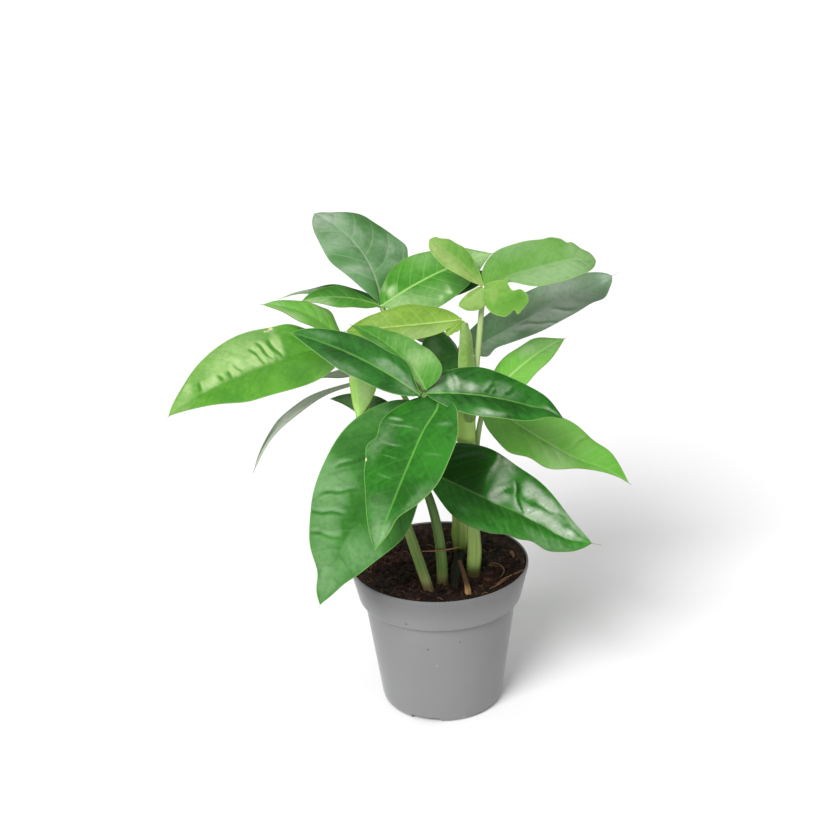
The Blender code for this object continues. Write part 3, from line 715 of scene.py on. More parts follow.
# A crease is a trough darkened with painted shade, with a low bank beside it lightened with a
# painted highlight. The bank lies this far from the trough, and its height is a share of the
# trough's depth.
CREASE_WIDTH, CREASE_PAINTED_SHADE = 0.95, 1.4
BANK_AT, BANK_WIDTH, BANK_HEIGHT, BANK_PAINTED_HIGHLIGHT = 2.1, 1.2, 0.35, 0.8
# How sharp the edge of each patch of painted sheen and shade is where its row doesn't say, and how
# far the outline of such a soft patch and of a sharp one wanders.
SOFT_EDGE = 1.4
SOFT_WANDER, SHARP_WANDER = 1.3, 0.4
# The length over which it wanders, in millimetres on a half about this wide.
WANDER_LENGTH, USUAL_HALF = 14, 20

# A blade's middle surface: its grid of points, where each row is from the hub at 0 to the tip at 1
# (t) and each column from the left margin at -1 to the right at 1 (s), the length of the midrib up
# to each row, and the width of the half that each point is on.
Grid = namedtuple("Grid", "points t s along widths")


def midrib(hub, leaflet, t):
    """Points of a midrib at t from 0 to 1, its directions, and the blade's level side vector."""
    root, tip = np.array(hub, float) + leaflet.root, np.array(leaflet.tip, float)
    forward = unit(tip - root)
    side = unit(np.cross(forward, UP))
    lift = np.cross(side, forward)
    start = root + forward * BLADE_START
    bend = lift * leaflet.arch + side * leaflet.bow
    t = t[:, None]
    points = start + (tip - start) * t + bend * 4 * t * (1 - t) + lift * leaflet.hook * (t - t**4)
    directions = unit(np.gradient(points, axis=0))
    for place, spread, push in leaflet.bends:
        near = np.exp(-(((t - place) / spread) ** 2)) * np.clip(t / place, 0, 1) ** 0.5
        points = points + np.array(push, float) * near
    return points, directions, side


def half_widths(leaflet, t, side_index, neck):
    """How far one half of a blade reaches from the midrib at each t."""
    base, point = leaflet.base[side_index], leaflet.point[side_index]
    widest = base / (base + point)
    inner = np.clip(t, 0.0, 1.0)
    outline = (inner / widest) ** base * ((1 - inner) / (1 - widest)) ** point
    for side, place, spread, height in leaflet.bumps:
        if (side > 0) == (side_index > 0):
            outline = outline * (1 + height * np.exp(-(((t - place) / spread) ** 2)))
    for side, place, softness, share in leaflet.steps:
        if (side > 0) == (side_index > 0):
            outline = outline * (1 - share / (1 + np.exp((t - place) / softness)))
    # The neck narrows over the first sixth, and the drip tip past the end is a thread.
    stalk = neck * np.clip(1 - t * 6, 0, 1) + 0.25 * np.clip(1.15 - t, 0.05, 1)
    return np.maximum(leaflet.half[side_index] * outline, stalk)


def blade_grid(hub, leaflet, settings, neck, chord):
    """The middle surface of a blade: folded, rolled, curled and waved."""
    step = settings.mesh_step / MM
    rows = int(np.clip(chord / step, *ROWS))
    columns = 2 * int(np.clip(sum(leaflet.half) / step * 0.4, *COLUMNS))
    t = np.linspace(0, 1 + leaflet.drip / chord, rows + 1)
    s = np.sin(np.linspace(-1, 1, columns + 1) * math.pi / 2)
    spine, directions, side = midrib(hub, leaflet, t)
    across = unit(side - directions * (directions @ side)[:, None])
    lift = np.cross(across, directions)
    turn = np.radians(leaflet.roll + leaflet.twist * (t - 0.5))[:, None]
    across, lift = (
        across * np.cos(turn) - lift * np.sin(turn),
        across * np.sin(turn) + lift * np.cos(turn),
    )
    along = np.concatenate([[0], np.cumsum(np.linalg.norm(np.diff(spine, axis=0), axis=1))])
    left, right = (half_widths(leaflet, t, index, neck)[:, None] for index in (0, 1))
    widths = np.where(s < 0, left, right)
    t = t[:, None]
    height, count, phase = leaflet.wave
    wave = height * s**2 * np.sin(2 * math.pi * (count * t + phase + WAVE_SHIFT * (s < 0)))
    wave = wave * np.sin(np.clip(t, 0, 1) * math.pi) ** 0.5
    fold = math.radians(leaflet.fold)
    sideways = s * widths * math.cos(fold)
    upwards = np.abs(s) * widths * math.sin(fold) - CURL * widths * s * s + wave
    points = spine[:, None] + across[:, None] * sideways[..., None]
    points = points + lift[:, None] * upwards[..., None]
    return Grid(points, t, s, along[:, None], widths)


def blade_relief(leaflet, settings, grid, seed):
    """How far each point swells or sinks, how far the midrib and the side veins stand out under it,
    and how many side veins it is from the hub."""
    out = np.abs(grid.s) * grid.widths
    # The side veins leave the midrib at about 55 degrees, and those of the two halves alternate.
    x = grid.along + VEIN_DRIFT * ripple(grid.along, out * 0.8, seed, DRIFT_LENGTH)
    lean = leaflet.sweep * out + VEIN_CURVE * out**2
    vein = (x - lean) / leaflet.pitch + 0.5 * (grid.s < 0) + 0.3
    off_vein = np.abs(vein - np.round(vein))
    fade = np.clip(out / VEIN_START, 0, 1)
    fade = fade * np.clip((1 - np.abs(grid.s)) * grid.widths / VEIN_END, 0, 1)
    fade = fade * np.clip(grid.t * 8, 0, 1)
    # The tissue swells between the veins, unevenly, and is wrinkled at random.
    even = vein * leaflet.pitch
    uneven = 0.75 + 0.5 * ripple(even, out + 9 * grid.s, seed + 2, SWELL_LENGTH)
    swell = leaflet.quilt * uneven * (np.sin(np.clip(off_vein * 2, 0, 1) * math.pi / 2) ** 0.7 - 0.6)
    wrinkles = ripple(even, out * 0.4 + 7 * grid.s, seed + 1, WRINKLE_LENGTH)
    wrinkles = leaflet.crumple * wrinkles
    groove = settings.groove / MM * np.exp(-((out / GROOVE_WIDTH) ** 2))
    groove = groove * np.clip(1.1 - grid.t, 0, 1)
    rib = RIB_HEIGHT * np.exp(-((out / RIB_WIDTH) ** 2)) * np.clip(1.05 - grid.t, 0.1, 1)
    ridge = RIDGE_HEIGHT * np.exp(-((off_vein / RIDGE_WIDTH) ** 2)) * fade
    return (swell + wrinkles * 0.5) * fade - groove, rib, ridge, vein


def blade_sheen_shade(leaflet, t, s, length, seed):
    """Where a blade has painted sheen, partly silvery wax, above 0, and painted shade in deeper green,
    below 0.
    """
    tone = np.zeros(np.broadcast(t, s).shape)
    # The outlines of the patches wander by a millimetre or two.
    wander = ripple(t * length, s * USUAL_HALF, seed + 5, WANDER_LENGTH)
    sideways = ripple(t * length, s * USUAL_HALF, seed + 6, WANDER_LENGTH)
    for across, along, wide, long, amount, *sharpness in leaflet.tones:
        sharp = sharpness[0] if sharpness else SOFT_EDGE
        loose = SHARP_WANDER if sharpness else SOFT_WANDER
        t_here = t + wander * loose / length
        s_here = s + sideways * loose / 18
        off = ((s_here - across) / wide) ** 2 + ((t_here - along) / long) ** 2
        same_half = 1 if across == 0 else s * across >= 0
        tone = tone + amount * same_half * np.exp(-(off**sharp))
    return np.clip(tone, -1, 1.2)


def crease_lines(leaflet, x, y, widths, length):
    """How deep the creases are at each point in millimetres, and how much of a bank is beside them."""
    depth, bank = np.zeros(x.shape), np.zeros(x.shape)
    for across0, along0, across1, along1, height in leaflet.creases:
        side = 1 if across0 + across1 > 0 else -1
        wide = np.abs(widths).max() * 0.9
        start = np.array([along0 * length, abs(across0) * wide])
        end = np.array([along1 * length, abs(across1) * wide])
        run = np.linalg.norm(end - start)
        axis = (end - start) / run
        ahead = (x - start[0]) * axis[0] + (np.abs(y) - start[1]) * axis[1]
        aside = (x - start[0]) * axis[1] - (np.abs(y) - start[1]) * axis[0]
        # A fold wanders a little and fades at both ends.
        aside = aside + 0.5 * np.sin(ahead * 0.4 + along0 * 40)
        inside = np.clip(ahead / run, 0, 1)
        fade = np.where((ahead > -1) & (ahead < run + 1), np.sin(inside * math.pi) ** 0.5, 0)
        fade = fade * (np.sign(y) * side > 0)
        depth = depth + height * fade * np.exp(-((aside / CREASE_WIDTH) ** 2))
        bank = bank + height * fade * np.exp(-(((aside + BANK_AT) / BANK_WIDTH) ** 2))
    return depth, bank


def scar_amount(leaflet, t, y, widths, length):
    """How dry and tan a blade is at each place, from 0 to 1."""
    scar = np.zeros(y.shape)
    for across, along, radius in leaflet.scars:
        off = ((t - along) * length) ** 2 + (y - across * widths) ** 2
        scar = scar + np.exp(-off / radius**2)
    return scar


def blade_arrays(name, hub, leaflet, settings, neck):
    """The upper and lower surfaces of a blade as grids of points, with what its material reads."""
    chord = np.linalg.norm(np.array(leaflet.tip, float) - np.array(hub, float))
    seed = sum(map(ord, name))
    grid = blade_grid(hub, leaflet, settings, neck, chord)
    t, s, widths, length = grid.t, grid.s, grid.widths, grid.along[-1, 0]
    off_margin = (1 - np.abs(s)) * widths
    relief, rib, ridge, vein = blade_relief(leaflet, settings, grid, seed)
    depth, bank = crease_lines(leaflet, grid.along, s * widths, widths, length)
    relief = relief - depth + BANK_HEIGHT * bank
    normals = unit(np.cross(np.gradient(grid.points, axis=1), np.gradient(grid.points, axis=0)))
    half = settings.thickness / MM / 2 * np.clip(off_margin / MARGIN_STRIP, MARGIN_THINNESS, 1)
    upper = grid.points + normals * (relief + half)[..., None]
    lower = grid.points + normals * (relief - half - rib - ridge)[..., None]
    # Painted light: patches of painted sheen, partly wax, and of painted shade, with painted shade in the
    # creases and a painted highlight on their banks.
    tone = blade_sheen_shade(leaflet, t, s, chord, seed) - CREASE_PAINTED_SHADE * depth + BANK_PAINTED_HIGHLIGHT * bank
    facts = {
        "vein": vein,
        "rib": np.abs(s) * widths,
        "edge": off_margin,
        "tone": tone,
        "paleness": np.broadcast_to(leaflet.rib * np.clip(1.1 - t, 0, 1) ** 0.5, vein.shape),
        "scar": scar_amount(leaflet, t, s * widths, widths, length),
    }
    return upper, lower, facts


def build_blade(name, hub, leaflet, materials, settings, neck):
    """One closed blade: upper face, lower face and the margin between them."""
    upper, lower, facts = blade_arrays(name, hub, leaflet, settings, neck)
    rows, columns = upper.shape[0], upper.shape[1]
    grid = np.arange(rows * columns).reshape(rows, columns)
    quads = np.stack([grid[:-1, :-1], grid[:-1, 1:], grid[1:, 1:], grid[1:, :-1]], -1).reshape(-1, 4)
    under = quads[:, ::-1] + rows * columns
    loop = np.concatenate([grid[0, :-1], grid[:-1, -1], grid[-1, :0:-1], grid[:0:-1, 0]])
    after = np.roll(loop, -1)
    rim = np.stack([after, loop, loop + rows * columns, after + rows * columns], -1)
    mesh = bpy.data.meshes.new(name)
    points = np.concatenate([upper.reshape(-1, 3), lower.reshape(-1, 3)]) * MM
    mesh.from_pydata(points.tolist(), [], np.concatenate([quads, under, rim]).tolist())
    slots = np.repeat([0, 1, 2], [len(quads), len(under), len(rim)])
    mesh.polygons.foreach_set("material_index", slots.astype(np.int32))
    for fact, values in facts.items():
        attribute = mesh.attributes.new(fact, "FLOAT", "POINT")
        attribute.data.foreach_set("value", np.tile(values.reshape(-1), 2).astype(np.float32))
    for material in materials:
        mesh.materials.append(material)
    mesh.shade_smooth()
    mesh.set_sharp_from_angle(angle=math.radians(60))
    mesh.validate()
    return link_object(bpy.data.objects.new(name, mesh))


def leaf_materials(look_name):
    """The upper face, underside and margin of a leaf blade: waxy cuticle over green tissue."""
    look = LOOKS[look_name]
    made = []
    for upper in (True, False):
        # A leaf's cuticle is a thin smooth wax with a soft gloss, glossier where its sheen is, which is
        # partly wax and partly painted sheen and highlight.
        face = "upper" if upper else "under"
        material, tree, shader = new_material(f"{look_name} leaf blade, {face} face")
        place = add_node(tree, "ShaderNodeTexCoord").outputs["Object"]
        # Every measure, pattern and mask of the blade by its name. The first six are on its mesh.
        level = {
            name: add_node(tree, "ShaderNodeAttribute", attribute_name=name).outputs["Fac"]
            for name in ("vein", "rib", "edge", "tone", "paleness", "scar")
        }
        # The streaks run out from the midrib beside the side veins, three or four to each vein.
        outward = add_node(
            tree, "ShaderNodeCombineXYZ", {"X": level["vein"], "Y": level["rib"]}
        ).outputs[0]
        outward = add_node(
            tree, "ShaderNodeVectorMath", {0: outward, 1: (3.5, 0.14, 0.0)}, operation="MULTIPLY"
        ).outputs[0]
        for name, at, scale, detail in (
            # The cloud is the slow change of green over a blade, in patches about 26 mm wide.
            ("cloud", place, 38.0, 3.0),
            # The mottle is the tissue's small cushions between the finest veins, about 3 mm wide.
            ("mottle", place, 330.0, 3.0),
            ("streak", outward, 1.0, 4.0),
            # The grain is the cuticle's cells, drawn 1.4 mm wide because real ones are too fine.
            ("grain", place, 700.0, 2.0),
        ):
            level[name] = add_node(
                tree, "ShaderNodeTexNoise", {"Vector": at, "Scale": scale, "Detail": detail}
            ).outputs["Fac"]
        share = 0.0
        for name, weight in (("streak", 0.14), ("mottle", 0.26), ("cloud", 0.6)):
            share = add_node(
                tree, "ShaderNodeMath", {0: level[name], 1: weight, 2: share},
                operation="MULTIPLY_ADD",
            ).outputs[0]
        level["share"] = share
        level["off_vein"] = add_node(
            tree, "ShaderNodeMath", {0: level["vein"], 1: 0.5}, operation="PINGPONG"
        ).outputs[0]
        # Painted shade in deeper green is where the patches of sheen and shade are below 0, and a dark
        # midrib where the paleness is.
        for name, source in (("shaded", "tone"), ("darkness", "paleness")):
            level[name] = add_node(
                tree, "ShaderNodeMath", {0: level[source], 1: -1.0}, operation="MULTIPLY"
            ).outputs[0]
        base = look.roughness if upper else look.roughness + 0.18
        # Each mask goes from start to end while what it reads goes from low to high.
        for name, source, low, high, start, end in (
            ("light_share", "share", 0.38, 0.62, 0.0, 1.0),
            ("vein_line", "off_vein", 0.015, 0.075, 1.0, 0.0),
            ("off_margin", "edge", 1.0, 6.0, 0.0, 1.0),
            ("rib_line", "rib", 0.35, 1.15, 1.0, 0.0),
            ("margin", "edge", 0.2, 0.8, 0.6, 0.0),
            ("cushions", "mottle", 0.32, 0.6, 0.82, 1.06),
            ("streaks", "streak", 0.3, 0.65, 0.85, 1.05),
            ("crust", "mottle", 0.35, 0.55, 0.4, 1.2),
            ("wear", "mottle", 0.3, 0.7, base + 0.02, base + 0.14),
        ):
            level[name] = add_node(
                tree, "ShaderNodeMapRange", {0: level[source], 1: low, 2: high, 3: start, 4: end},
                interpolation_type="SMOOTHSTEP",
            ).outputs[0]
        # Masks that are two others multiplied. The cushions and the streaks break up the sheen, partly
        # wax and partly painted sheen.
        for name, first, second in (
            ("vein_line", "vein_line", "off_margin"),
            ("pale_vein", "vein_line", look.vein_share),
            ("sheen_mask", "tone", "cushions"),
            ("sheen_mask", "sheen_mask", "streaks"),
            ("shine", "sheen_mask", 0.85),
            ("pale_rib", "rib_line", "paleness"),
            ("dark_rib", "rib_line", "darkness"),
            ("scar", "scar", "crust"),
        ):
            level[name] = add_node(
                tree, "ShaderNodeMath", {0: level[first], 1: level.get(second, second)},
                operation="MULTIPLY", use_clamp=True,
            ).outputs[0]
        level["dry"] = add_node(
            tree, "ShaderNodeMapRange", {0: level["scar"], 1: 0.25, 2: 0.55},
            interpolation_type="SMOOTHSTEP",
        ).outputs[0]
        # The second layer is painted shade, and the fourth is painted sheen and highlight, partly wax.
        layers = [
            ("light_share", look.light),
            ("shaded", look.shade),
            ("pale_vein", look.vein),
            ("shine", look.shine),
            ("pale_rib", look.vein),
            ("dark_rib", look.shade),
            ("margin", look.edge),
            ("dry", "#cfc59a"),
        ]
        if not upper:
            layers.remove(("shine", look.shine))
        green = look.deep if upper else look.under
        for name, layer in layers:
            green = add_node(
                tree, "ShaderNodeMix", {"Factor": level[name], "A": green, "B": layer},
                data_type="RGBA",
            ).outputs["Result"]
        # The side veins are sunk in the upper face and stand out on the underside.
        height = 0.0
        for name, weight in (
            ("grain", 0.6), ("streak", 0.5), ("mottle", 1.4), ("vein_line", -1.0 if upper else 1.6),
        ):
            height = add_node(
                tree, "ShaderNodeMath", {0: level[name], 1: weight, 2: height},
                operation="MULTIPLY_ADD",
            ).outputs[0]
        bump = add_node(
            tree, "ShaderNodeBump", {"Height": height, "Strength": 0.25, "Distance": 0.25 * MM}
        ).outputs[0]
        gloss = add_node(
            tree, "ShaderNodeMath", {0: level["sheen_mask"], 1: -0.08, 2: level["wear"]},
            operation="MULTIPLY_ADD",
        ).outputs[0]
        fill_inputs(
            tree, shader, {"Base Color": green, "Roughness": gloss, "Normal": bump, "IOR": 1.45}
        )
        if upper:
            waxed = add_node(
                tree, "ShaderNodeMath", {0: level["sheen_mask"], 1: 0.5, 2: look.gloss},
                operation="MULTIPLY_ADD",
            ).outputs[0]
            fill_inputs(tree, shader, {"Specular IOR Level": waxed})
        made.append(material)
    # The margin is a thin strip of clear, pale tissue.
    material, tree, shader = new_material(f"{look_name} leaf blade, margin")
    fill_inputs(tree, shader, {"Base Color": look.edge, "Roughness": 0.45})
    made.append(material)
    return made


# Stalks.

def stalk_tree():
    """Geometry nodes that sweep a ribbed round section along a curve whose points hold the radius."""
    tree = bpy.data.node_groups.new("Ribbed stalk", "GeometryNodeTree")
    tree.interface.new_socket("Path", in_out="INPUT", socket_type="NodeSocketGeometry")
    for name, kind, value in (
        ("Ribs", "NodeSocketFloat", 9.0),
        ("Rib depth", "NodeSocketFloat", 0.015),
        ("Sides", "NodeSocketInt", 36),
        ("Material", "NodeSocketMaterial", None),
    ):
        socket = tree.interface.new_socket(name, in_out="INPUT", socket_type=kind)
        if value is not None:
            socket.default_value = value
    tree.interface.new_socket("Stalk", in_out="OUTPUT", socket_type="NodeSocketGeometry")
    given = add_node(tree, "NodeGroupInput").outputs
    circle = add_node(
        tree, "GeometryNodeCurvePrimitiveCircle", {"Resolution": given["Sides"], "Radius": 1.0}
    ).outputs["Curve"]
    position = add_node(tree, "GeometryNodeInputPosition").outputs[0]
    circle = add_node(
        tree, "GeometryNodeStoreNamedAttribute",
        {"Geometry": circle, "Name": "section", "Value": position},
        data_type="FLOAT_VECTOR", domain="POINT",
    ).outputs[0]
    parts = add_node(tree, "ShaderNodeSeparateXYZ", {0: position}).outputs
    angle = add_node(
        tree, "ShaderNodeMath", {0: parts["Y"], 1: parts["X"]}, operation="ARCTAN2"
    ).outputs[0]
    turns = add_node(
        tree, "ShaderNodeMath", {0: angle, 1: given["Ribs"]}, operation="MULTIPLY"
    ).outputs[0]
    swing = add_node(tree, "ShaderNodeMath", {0: turns}, operation="SINE").outputs[0]
    amount = add_node(
        tree, "ShaderNodeMath", {0: swing, 1: given["Rib depth"]}, operation="MULTIPLY"
    ).outputs[0]
    offset = add_node(
        tree, "ShaderNodeVectorMath", {0: position, "Scale": amount}, operation="SCALE"
    ).outputs[0]
    circle = add_node(
        tree, "GeometryNodeSetPosition", {"Geometry": circle, "Offset": offset}
    ).outputs[0]
    length = add_node(tree, "GeometryNodeSplineParameter").outputs["Length"]
    radius = add_node(tree, "GeometryNodeInputRadius").outputs[0]
    path = add_node(
        tree, "GeometryNodeStoreNamedAttribute",
        {"Geometry": given["Path"], "Name": "along", "Value": length},
        data_type="FLOAT", domain="POINT",
    ).outputs[0]
    swept = add_node(
        tree, "GeometryNodeCurveToMesh",
        {"Curve": path, "Profile Curve": circle, "Scale": radius, "Fill Caps": True},
    ).outputs[0]
    smooth = add_node(
        tree, "GeometryNodeSetShadeSmooth", {"Geometry": swept, "Shade Smooth": True}
    ).outputs[0]
    real = add_node(tree, "GeometryNodeRealizeInstances", {"Geometry": smooth}).outputs[0]
    dressed = add_node(
        tree, "GeometryNodeSetMaterial", {"Geometry": real, "Material": given["Material"]}
    ).outputs[0]
    add_node(tree, "NodeGroupOutput", {"Stalk": dressed})
    return tree


def set_inputs(modifier, **values):
    """Sets a geometry nodes modifier's inputs by their names, through their identifiers."""
    for item in modifier.node_group.interface.items_tree:
        key = item.name.replace(" ", "_").lower()
        if item.item_type == "SOCKET" and item.in_out == "INPUT" and key in values:
            modifier[item.identifier] = values[key]


def build_tubes(name, strands, tree, material, **inputs):
    """Round stalks through (points, radii) strands, swept by the stalk tree, as one plain mesh."""
    curve = bpy.data.curves.new(name, "CURVE")
    curve.dimensions = "3D"
    for points, radii in strands:
        spline = curve.splines.new("POLY")
        spline.points.add(len(points) - 1)
        for place, point, radius in zip(spline.points, points, radii):
            place.co = (*(np.array(point) * MM), 1.0)
            place.radius = radius * MM
    guide = link_object(bpy.data.objects.new(name + "_path", curve))
    modifier = guide.modifiers.new("Stalk", "NODES")
    modifier.node_group = tree
    set_inputs(modifier, material=material, **inputs)
    return baked(guide, name)


def smooth_path(places, steps):
    """Points and radii on a smooth line through (x, y, z, radius) places."""
    places = np.array(places, float)
    knots = np.concatenate(
        [[0], np.cumsum(np.linalg.norm(np.diff(places[:, :3], axis=0), axis=1))]
    )
    slopes = np.gradient(places, knots, axis=0)
    at = np.linspace(0, knots[-1], steps)
    i = np.clip(np.searchsorted(knots, at, side="right") - 1, 0, len(knots) - 2)
    gap = (knots[i + 1] - knots[i])[:, None]
    u = ((at - knots[i]) / gap[:, 0])[:, None]
    smooth = (
        places[i] * (2 * u**3 - 3 * u**2 + 1)
        + slopes[i] * gap * (u**3 - 2 * u**2 + u)
        + places[i + 1] * (3 * u**2 - 2 * u**3)
        + slopes[i + 1] * gap * (u**3 - u**2)
    )
    return smooth[:, :3], smooth[:, 3]


# How many points a stalk's path has. Its knuckle sits this far under the hub, so that the blades
# close over it, and is narrower than the rest by this share.
STALK_STEPS = 48
KNUCKLE_DIP = 1.2
KNUCKLE_TAPER = 0.15


def stalk_path(leaf):
    """Points and radii from the foot of a stalk up to the knuckle at its hub."""
    start, bend, hub = (np.array(point, float) for point in (leaf.start, leaf.bend, leaf.hub))
    t = np.linspace(0, 1, STALK_STEPS)[:, None]
    points = start * (1 - t) ** 2 + bend * 2 * t * (1 - t) + hub * t**2
    t = t[:, 0]
    points[:, 2] = points[:, 2] - KNUCKLE_DIP * np.exp(-((1 - t) * 9) ** 2)
    radii = leaf.foot_radius * (1 - t) + leaf.neck_radius * t
    radii = radii * (1 - KNUCKLE_TAPER * np.exp(-((1 - t) * 22) ** 2))
    return points, radii


# Each skin of a stalk: the colours of its darker and its paler streaks, of its foot and of its top,
# how rough it is, how high the foot's colour reaches, and how strongly its lowest part is darkened by
# damp mix and painted shade.
Skin = namedtuple("Skin", "dark pale foot top roughness foot_height stain", defaults=(112, 0.8))
SKINS = {
    "sheathed stem": Skin("#84a64c", "#b6d078", "#5f7438", "#b4dc6c", 0.4, 110),
    "shaded stalk": Skin("#426022", "#6f8c48", "#7d8452", "#4f7230", 0.34),
    "fleshy stalk": Skin("#6f8c42", "#92a862", "#a3a06a", "#7f9c50", 0.34),
    "young stalk": Skin("#86a355", "#b0c684", "#9aa468", "#a9bf80", 0.38),
    "dry stub": Skin("#38281b", "#5c432d", "#b08b58", "#4a3424", 0.8, 103, 0),
    "dark old stem": Skin("#161c0e", "#2c3519", "#1c1710", "#3a4a20", 0.6, 112, 0),
}
COIR = Skin("#5a3826", "#94704e", "#7d5a3e", "#9c6a4c", 0.8, 112, 0)


def stalk_material(name, skin):
    """Fleshy green stalk: long pale and dark streaks under a smooth skin, stained and darkened with
    painted shade at the foot.
    """
    material, tree, shader = new_material(name)
    section = add_node(tree, "ShaderNodeAttribute", attribute_name="section").outputs["Vector"]
    along = add_node(tree, "ShaderNodeAttribute", attribute_name="along").outputs["Fac"]
    place = add_node(tree, "ShaderNodeTexCoord").outputs["Object"]
    # The streaks are about 70 mm long and two thirds of the stalk's radius wide.
    stretched = add_node(
        tree, "ShaderNodeMath", {0: along, 1: 9.0}, operation="MULTIPLY"
    ).outputs[0]
    drift = add_node(tree, "ShaderNodeCombineXYZ", {"Z": stretched}).outputs[0]
    streaks_at = add_node(
        tree, "ShaderNodeVectorMath", {0: section, 1: drift}, operation="ADD"
    ).outputs[0]
    streak = add_node(
        tree, "ShaderNodeTexNoise", {"Vector": streaks_at, "Scale": 1.5, "Detail": 4.0}
    ).outputs["Fac"]
    share = add_node(tree, "ShaderNodeMapRange", {0: streak, 1: 0.36, 2: 0.64}).outputs[0]
    colour = add_node(
        tree, "ShaderNodeMix", {"Factor": share, "A": skin.dark, "B": skin.pale}, data_type="RGBA"
    ).outputs["Result"]
    height = add_node(tree, "ShaderNodeSeparateXYZ", {0: place}).outputs["Z"]
    # Layers by height in millimetres. The last darkens the lowest few millimetres: damp mix and painted
    # shade where the stalk meets the mix.
    for low, high, start, end, layer in (
        (97, skin.foot_height, 0.9, 0.0, skin.foot),
        (128, 172, 0.0, 0.8, skin.top),
        (98.5, 105, skin.stain, 0.0, "#4c3822"),
    ):
        fade = add_node(
            tree, "ShaderNodeMapRange",
            {0: height, 1: low * MM, 2: high * MM, 3: start, 4: end},
            interpolation_type="SMOOTHSTEP",
        ).outputs[0]
        colour = add_node(
            tree, "ShaderNodeMix", {"Factor": fade, "A": colour, "B": layer}, data_type="RGBA"
        ).outputs["Result"]
    bump = add_node(
        tree, "ShaderNodeBump", {"Height": streak, "Strength": 0.2, "Distance": 0.2 * MM}
    ).outputs[0]
    fill_inputs(
        tree, shader,
        {"Base Color": colour, "Normal": bump, "Roughness": skin.roughness, "IOR": 1.45},
    )
    return material


# Pot and potting mix.

# The collar's height below the rim, and how finely the pot is turned.
COLLAR = 24
POT_STEPS = 160
# How many points of the profile lie inside the pot below its rim, and the place in it of the rim's
# outer edge.
INSIDE_POINTS = 8
RIM_EDGE = 12
# The drain notches under the foot: how many, the first one's turn from +X in degrees, each one's
# length along the radius, width and twice its height, its distance from the axis and its rounding.
NOTCH_COUNT = 3
NOTCH_TURN = 12
NOTCH_SIZE = (17, 20, 7)
NOTCH_AT = 41.5
NOTCH_ROUND = 0.8
# Specks on the front of the pot: x and height of each, its radius and its colour.
SPECKS = (
    (-23.2, 82, 0.9, "#3c3c40"), (-9.5, 61.1, 0.9, "#46464a"), (11.5, 66.3, 0.8, "#4c4c50"),
    (13.3, 2.4, 1.1, "#b8a888"), (1.2, 1.4, 0.8, "#b0a080"), (-17, 27, 0.7, "#78787c"),
    (28, 66, 0.6, "#6c6060"), (-4, 48, 1.2, "#94908c"),
)


def pot_profile(settings):
    """The pot's outline, (radius, height) in millimetres: its inside, over the rim, down to the foot."""
    rim, top = settings.rim_radius / MM, settings.height / MM
    collar = top - COLLAR
    return [
        (0, 1.9), (37.5, 1.9), (38.6, 2.6), (39.1, 4.5),
        (49.8, collar - 1.6), (50.4, collar - 0.6), (52.6, collar + 0.2), (53.4, collar + 1.2),
        (rim - 1.35, top - 0.8), (rim - 1.1, top - 0.2), (rim - 0.7, top),
        (rim - 0.25, top - 0.15), (rim, top - 0.7),
        (rim - 0.1, top - 2.5), (57.6, collar + 12), (55.25, collar + 1.6),
        (54.9, collar + 0.6), (54.2, collar), (53.0, collar - 0.35), (51.9, collar - 0.6),
        (51.45, collar - 1.2), (51.2, collar - 2.4),
        (46, 38), (41.6, 6.0), (41.0, 3.0), (40.2, 1.3), (39.0, 0.3), (37.8, 0),
        (0, 0),
    ]


def lathe(name, profile, steps):
    """A closed solid turned about Z from a profile that starts and ends on the axis."""
    shape = bmesh.new()
    rings = [
        ring_of(shape, radius, steps, height) if radius else [shape.verts.new((0, 0, height * MM))]
        for radius, height in profile
    ]
    for lower, upper in zip(rings, rings[1:]):
        for k in range(steps):
            j = (k + 1) % steps
            if len(lower) == 1:
                shape.faces.new((lower[0], upper[j], upper[k]))
            elif len(upper) == 1:
                shape.faces.new((lower[k], lower[j], upper[0]))
            else:
                shape.faces.new((lower[k], lower[j], upper[j], upper[k]))
    bmesh.ops.recalc_face_normals(shape, faces=shape.faces)
    return finished(shape, name)


def wall_point(settings, x, height):
    """The place on the front of the pot's wall at this x and height, in metres."""
    outside = pot_profile(settings)[-2:RIM_EDGE:-1]
    radius = np.interp(height, [h for _, h in outside], [r for r, _ in outside])
    return tuple(c * MM for c in (x, -math.sqrt(radius**2 - x**2), height))


def dark_inside_material():
    """The pot's inside, dark brown over the grey plastic."""
    material, tree, shader = new_material("dark inner polypropylene")
    place = add_node(tree, "ShaderNodeTexCoord").outputs["Object"]
    # It is darker in blotches about 6 mm wide.
    cloud = add_node(
        tree, "ShaderNodeTexNoise", {"Vector": place, "Scale": 160.0, "Detail": 4.0}
    ).outputs["Fac"]
    cloud = add_node(
        tree, "ShaderNodeMapRange", {0: cloud, 1: 0.4, 2: 0.65}, interpolation_type="SMOOTHSTEP"
    ).outputs[0]
    colour = add_node(
        tree, "ShaderNodeMix", {"Factor": cloud, "A": "#2c211c", "B": "#4c4541"}, data_type="RGBA"
    ).outputs["Result"]
    fill_inputs(tree, shader, {"Base Color": colour, "Roughness": 0.7})
    return material


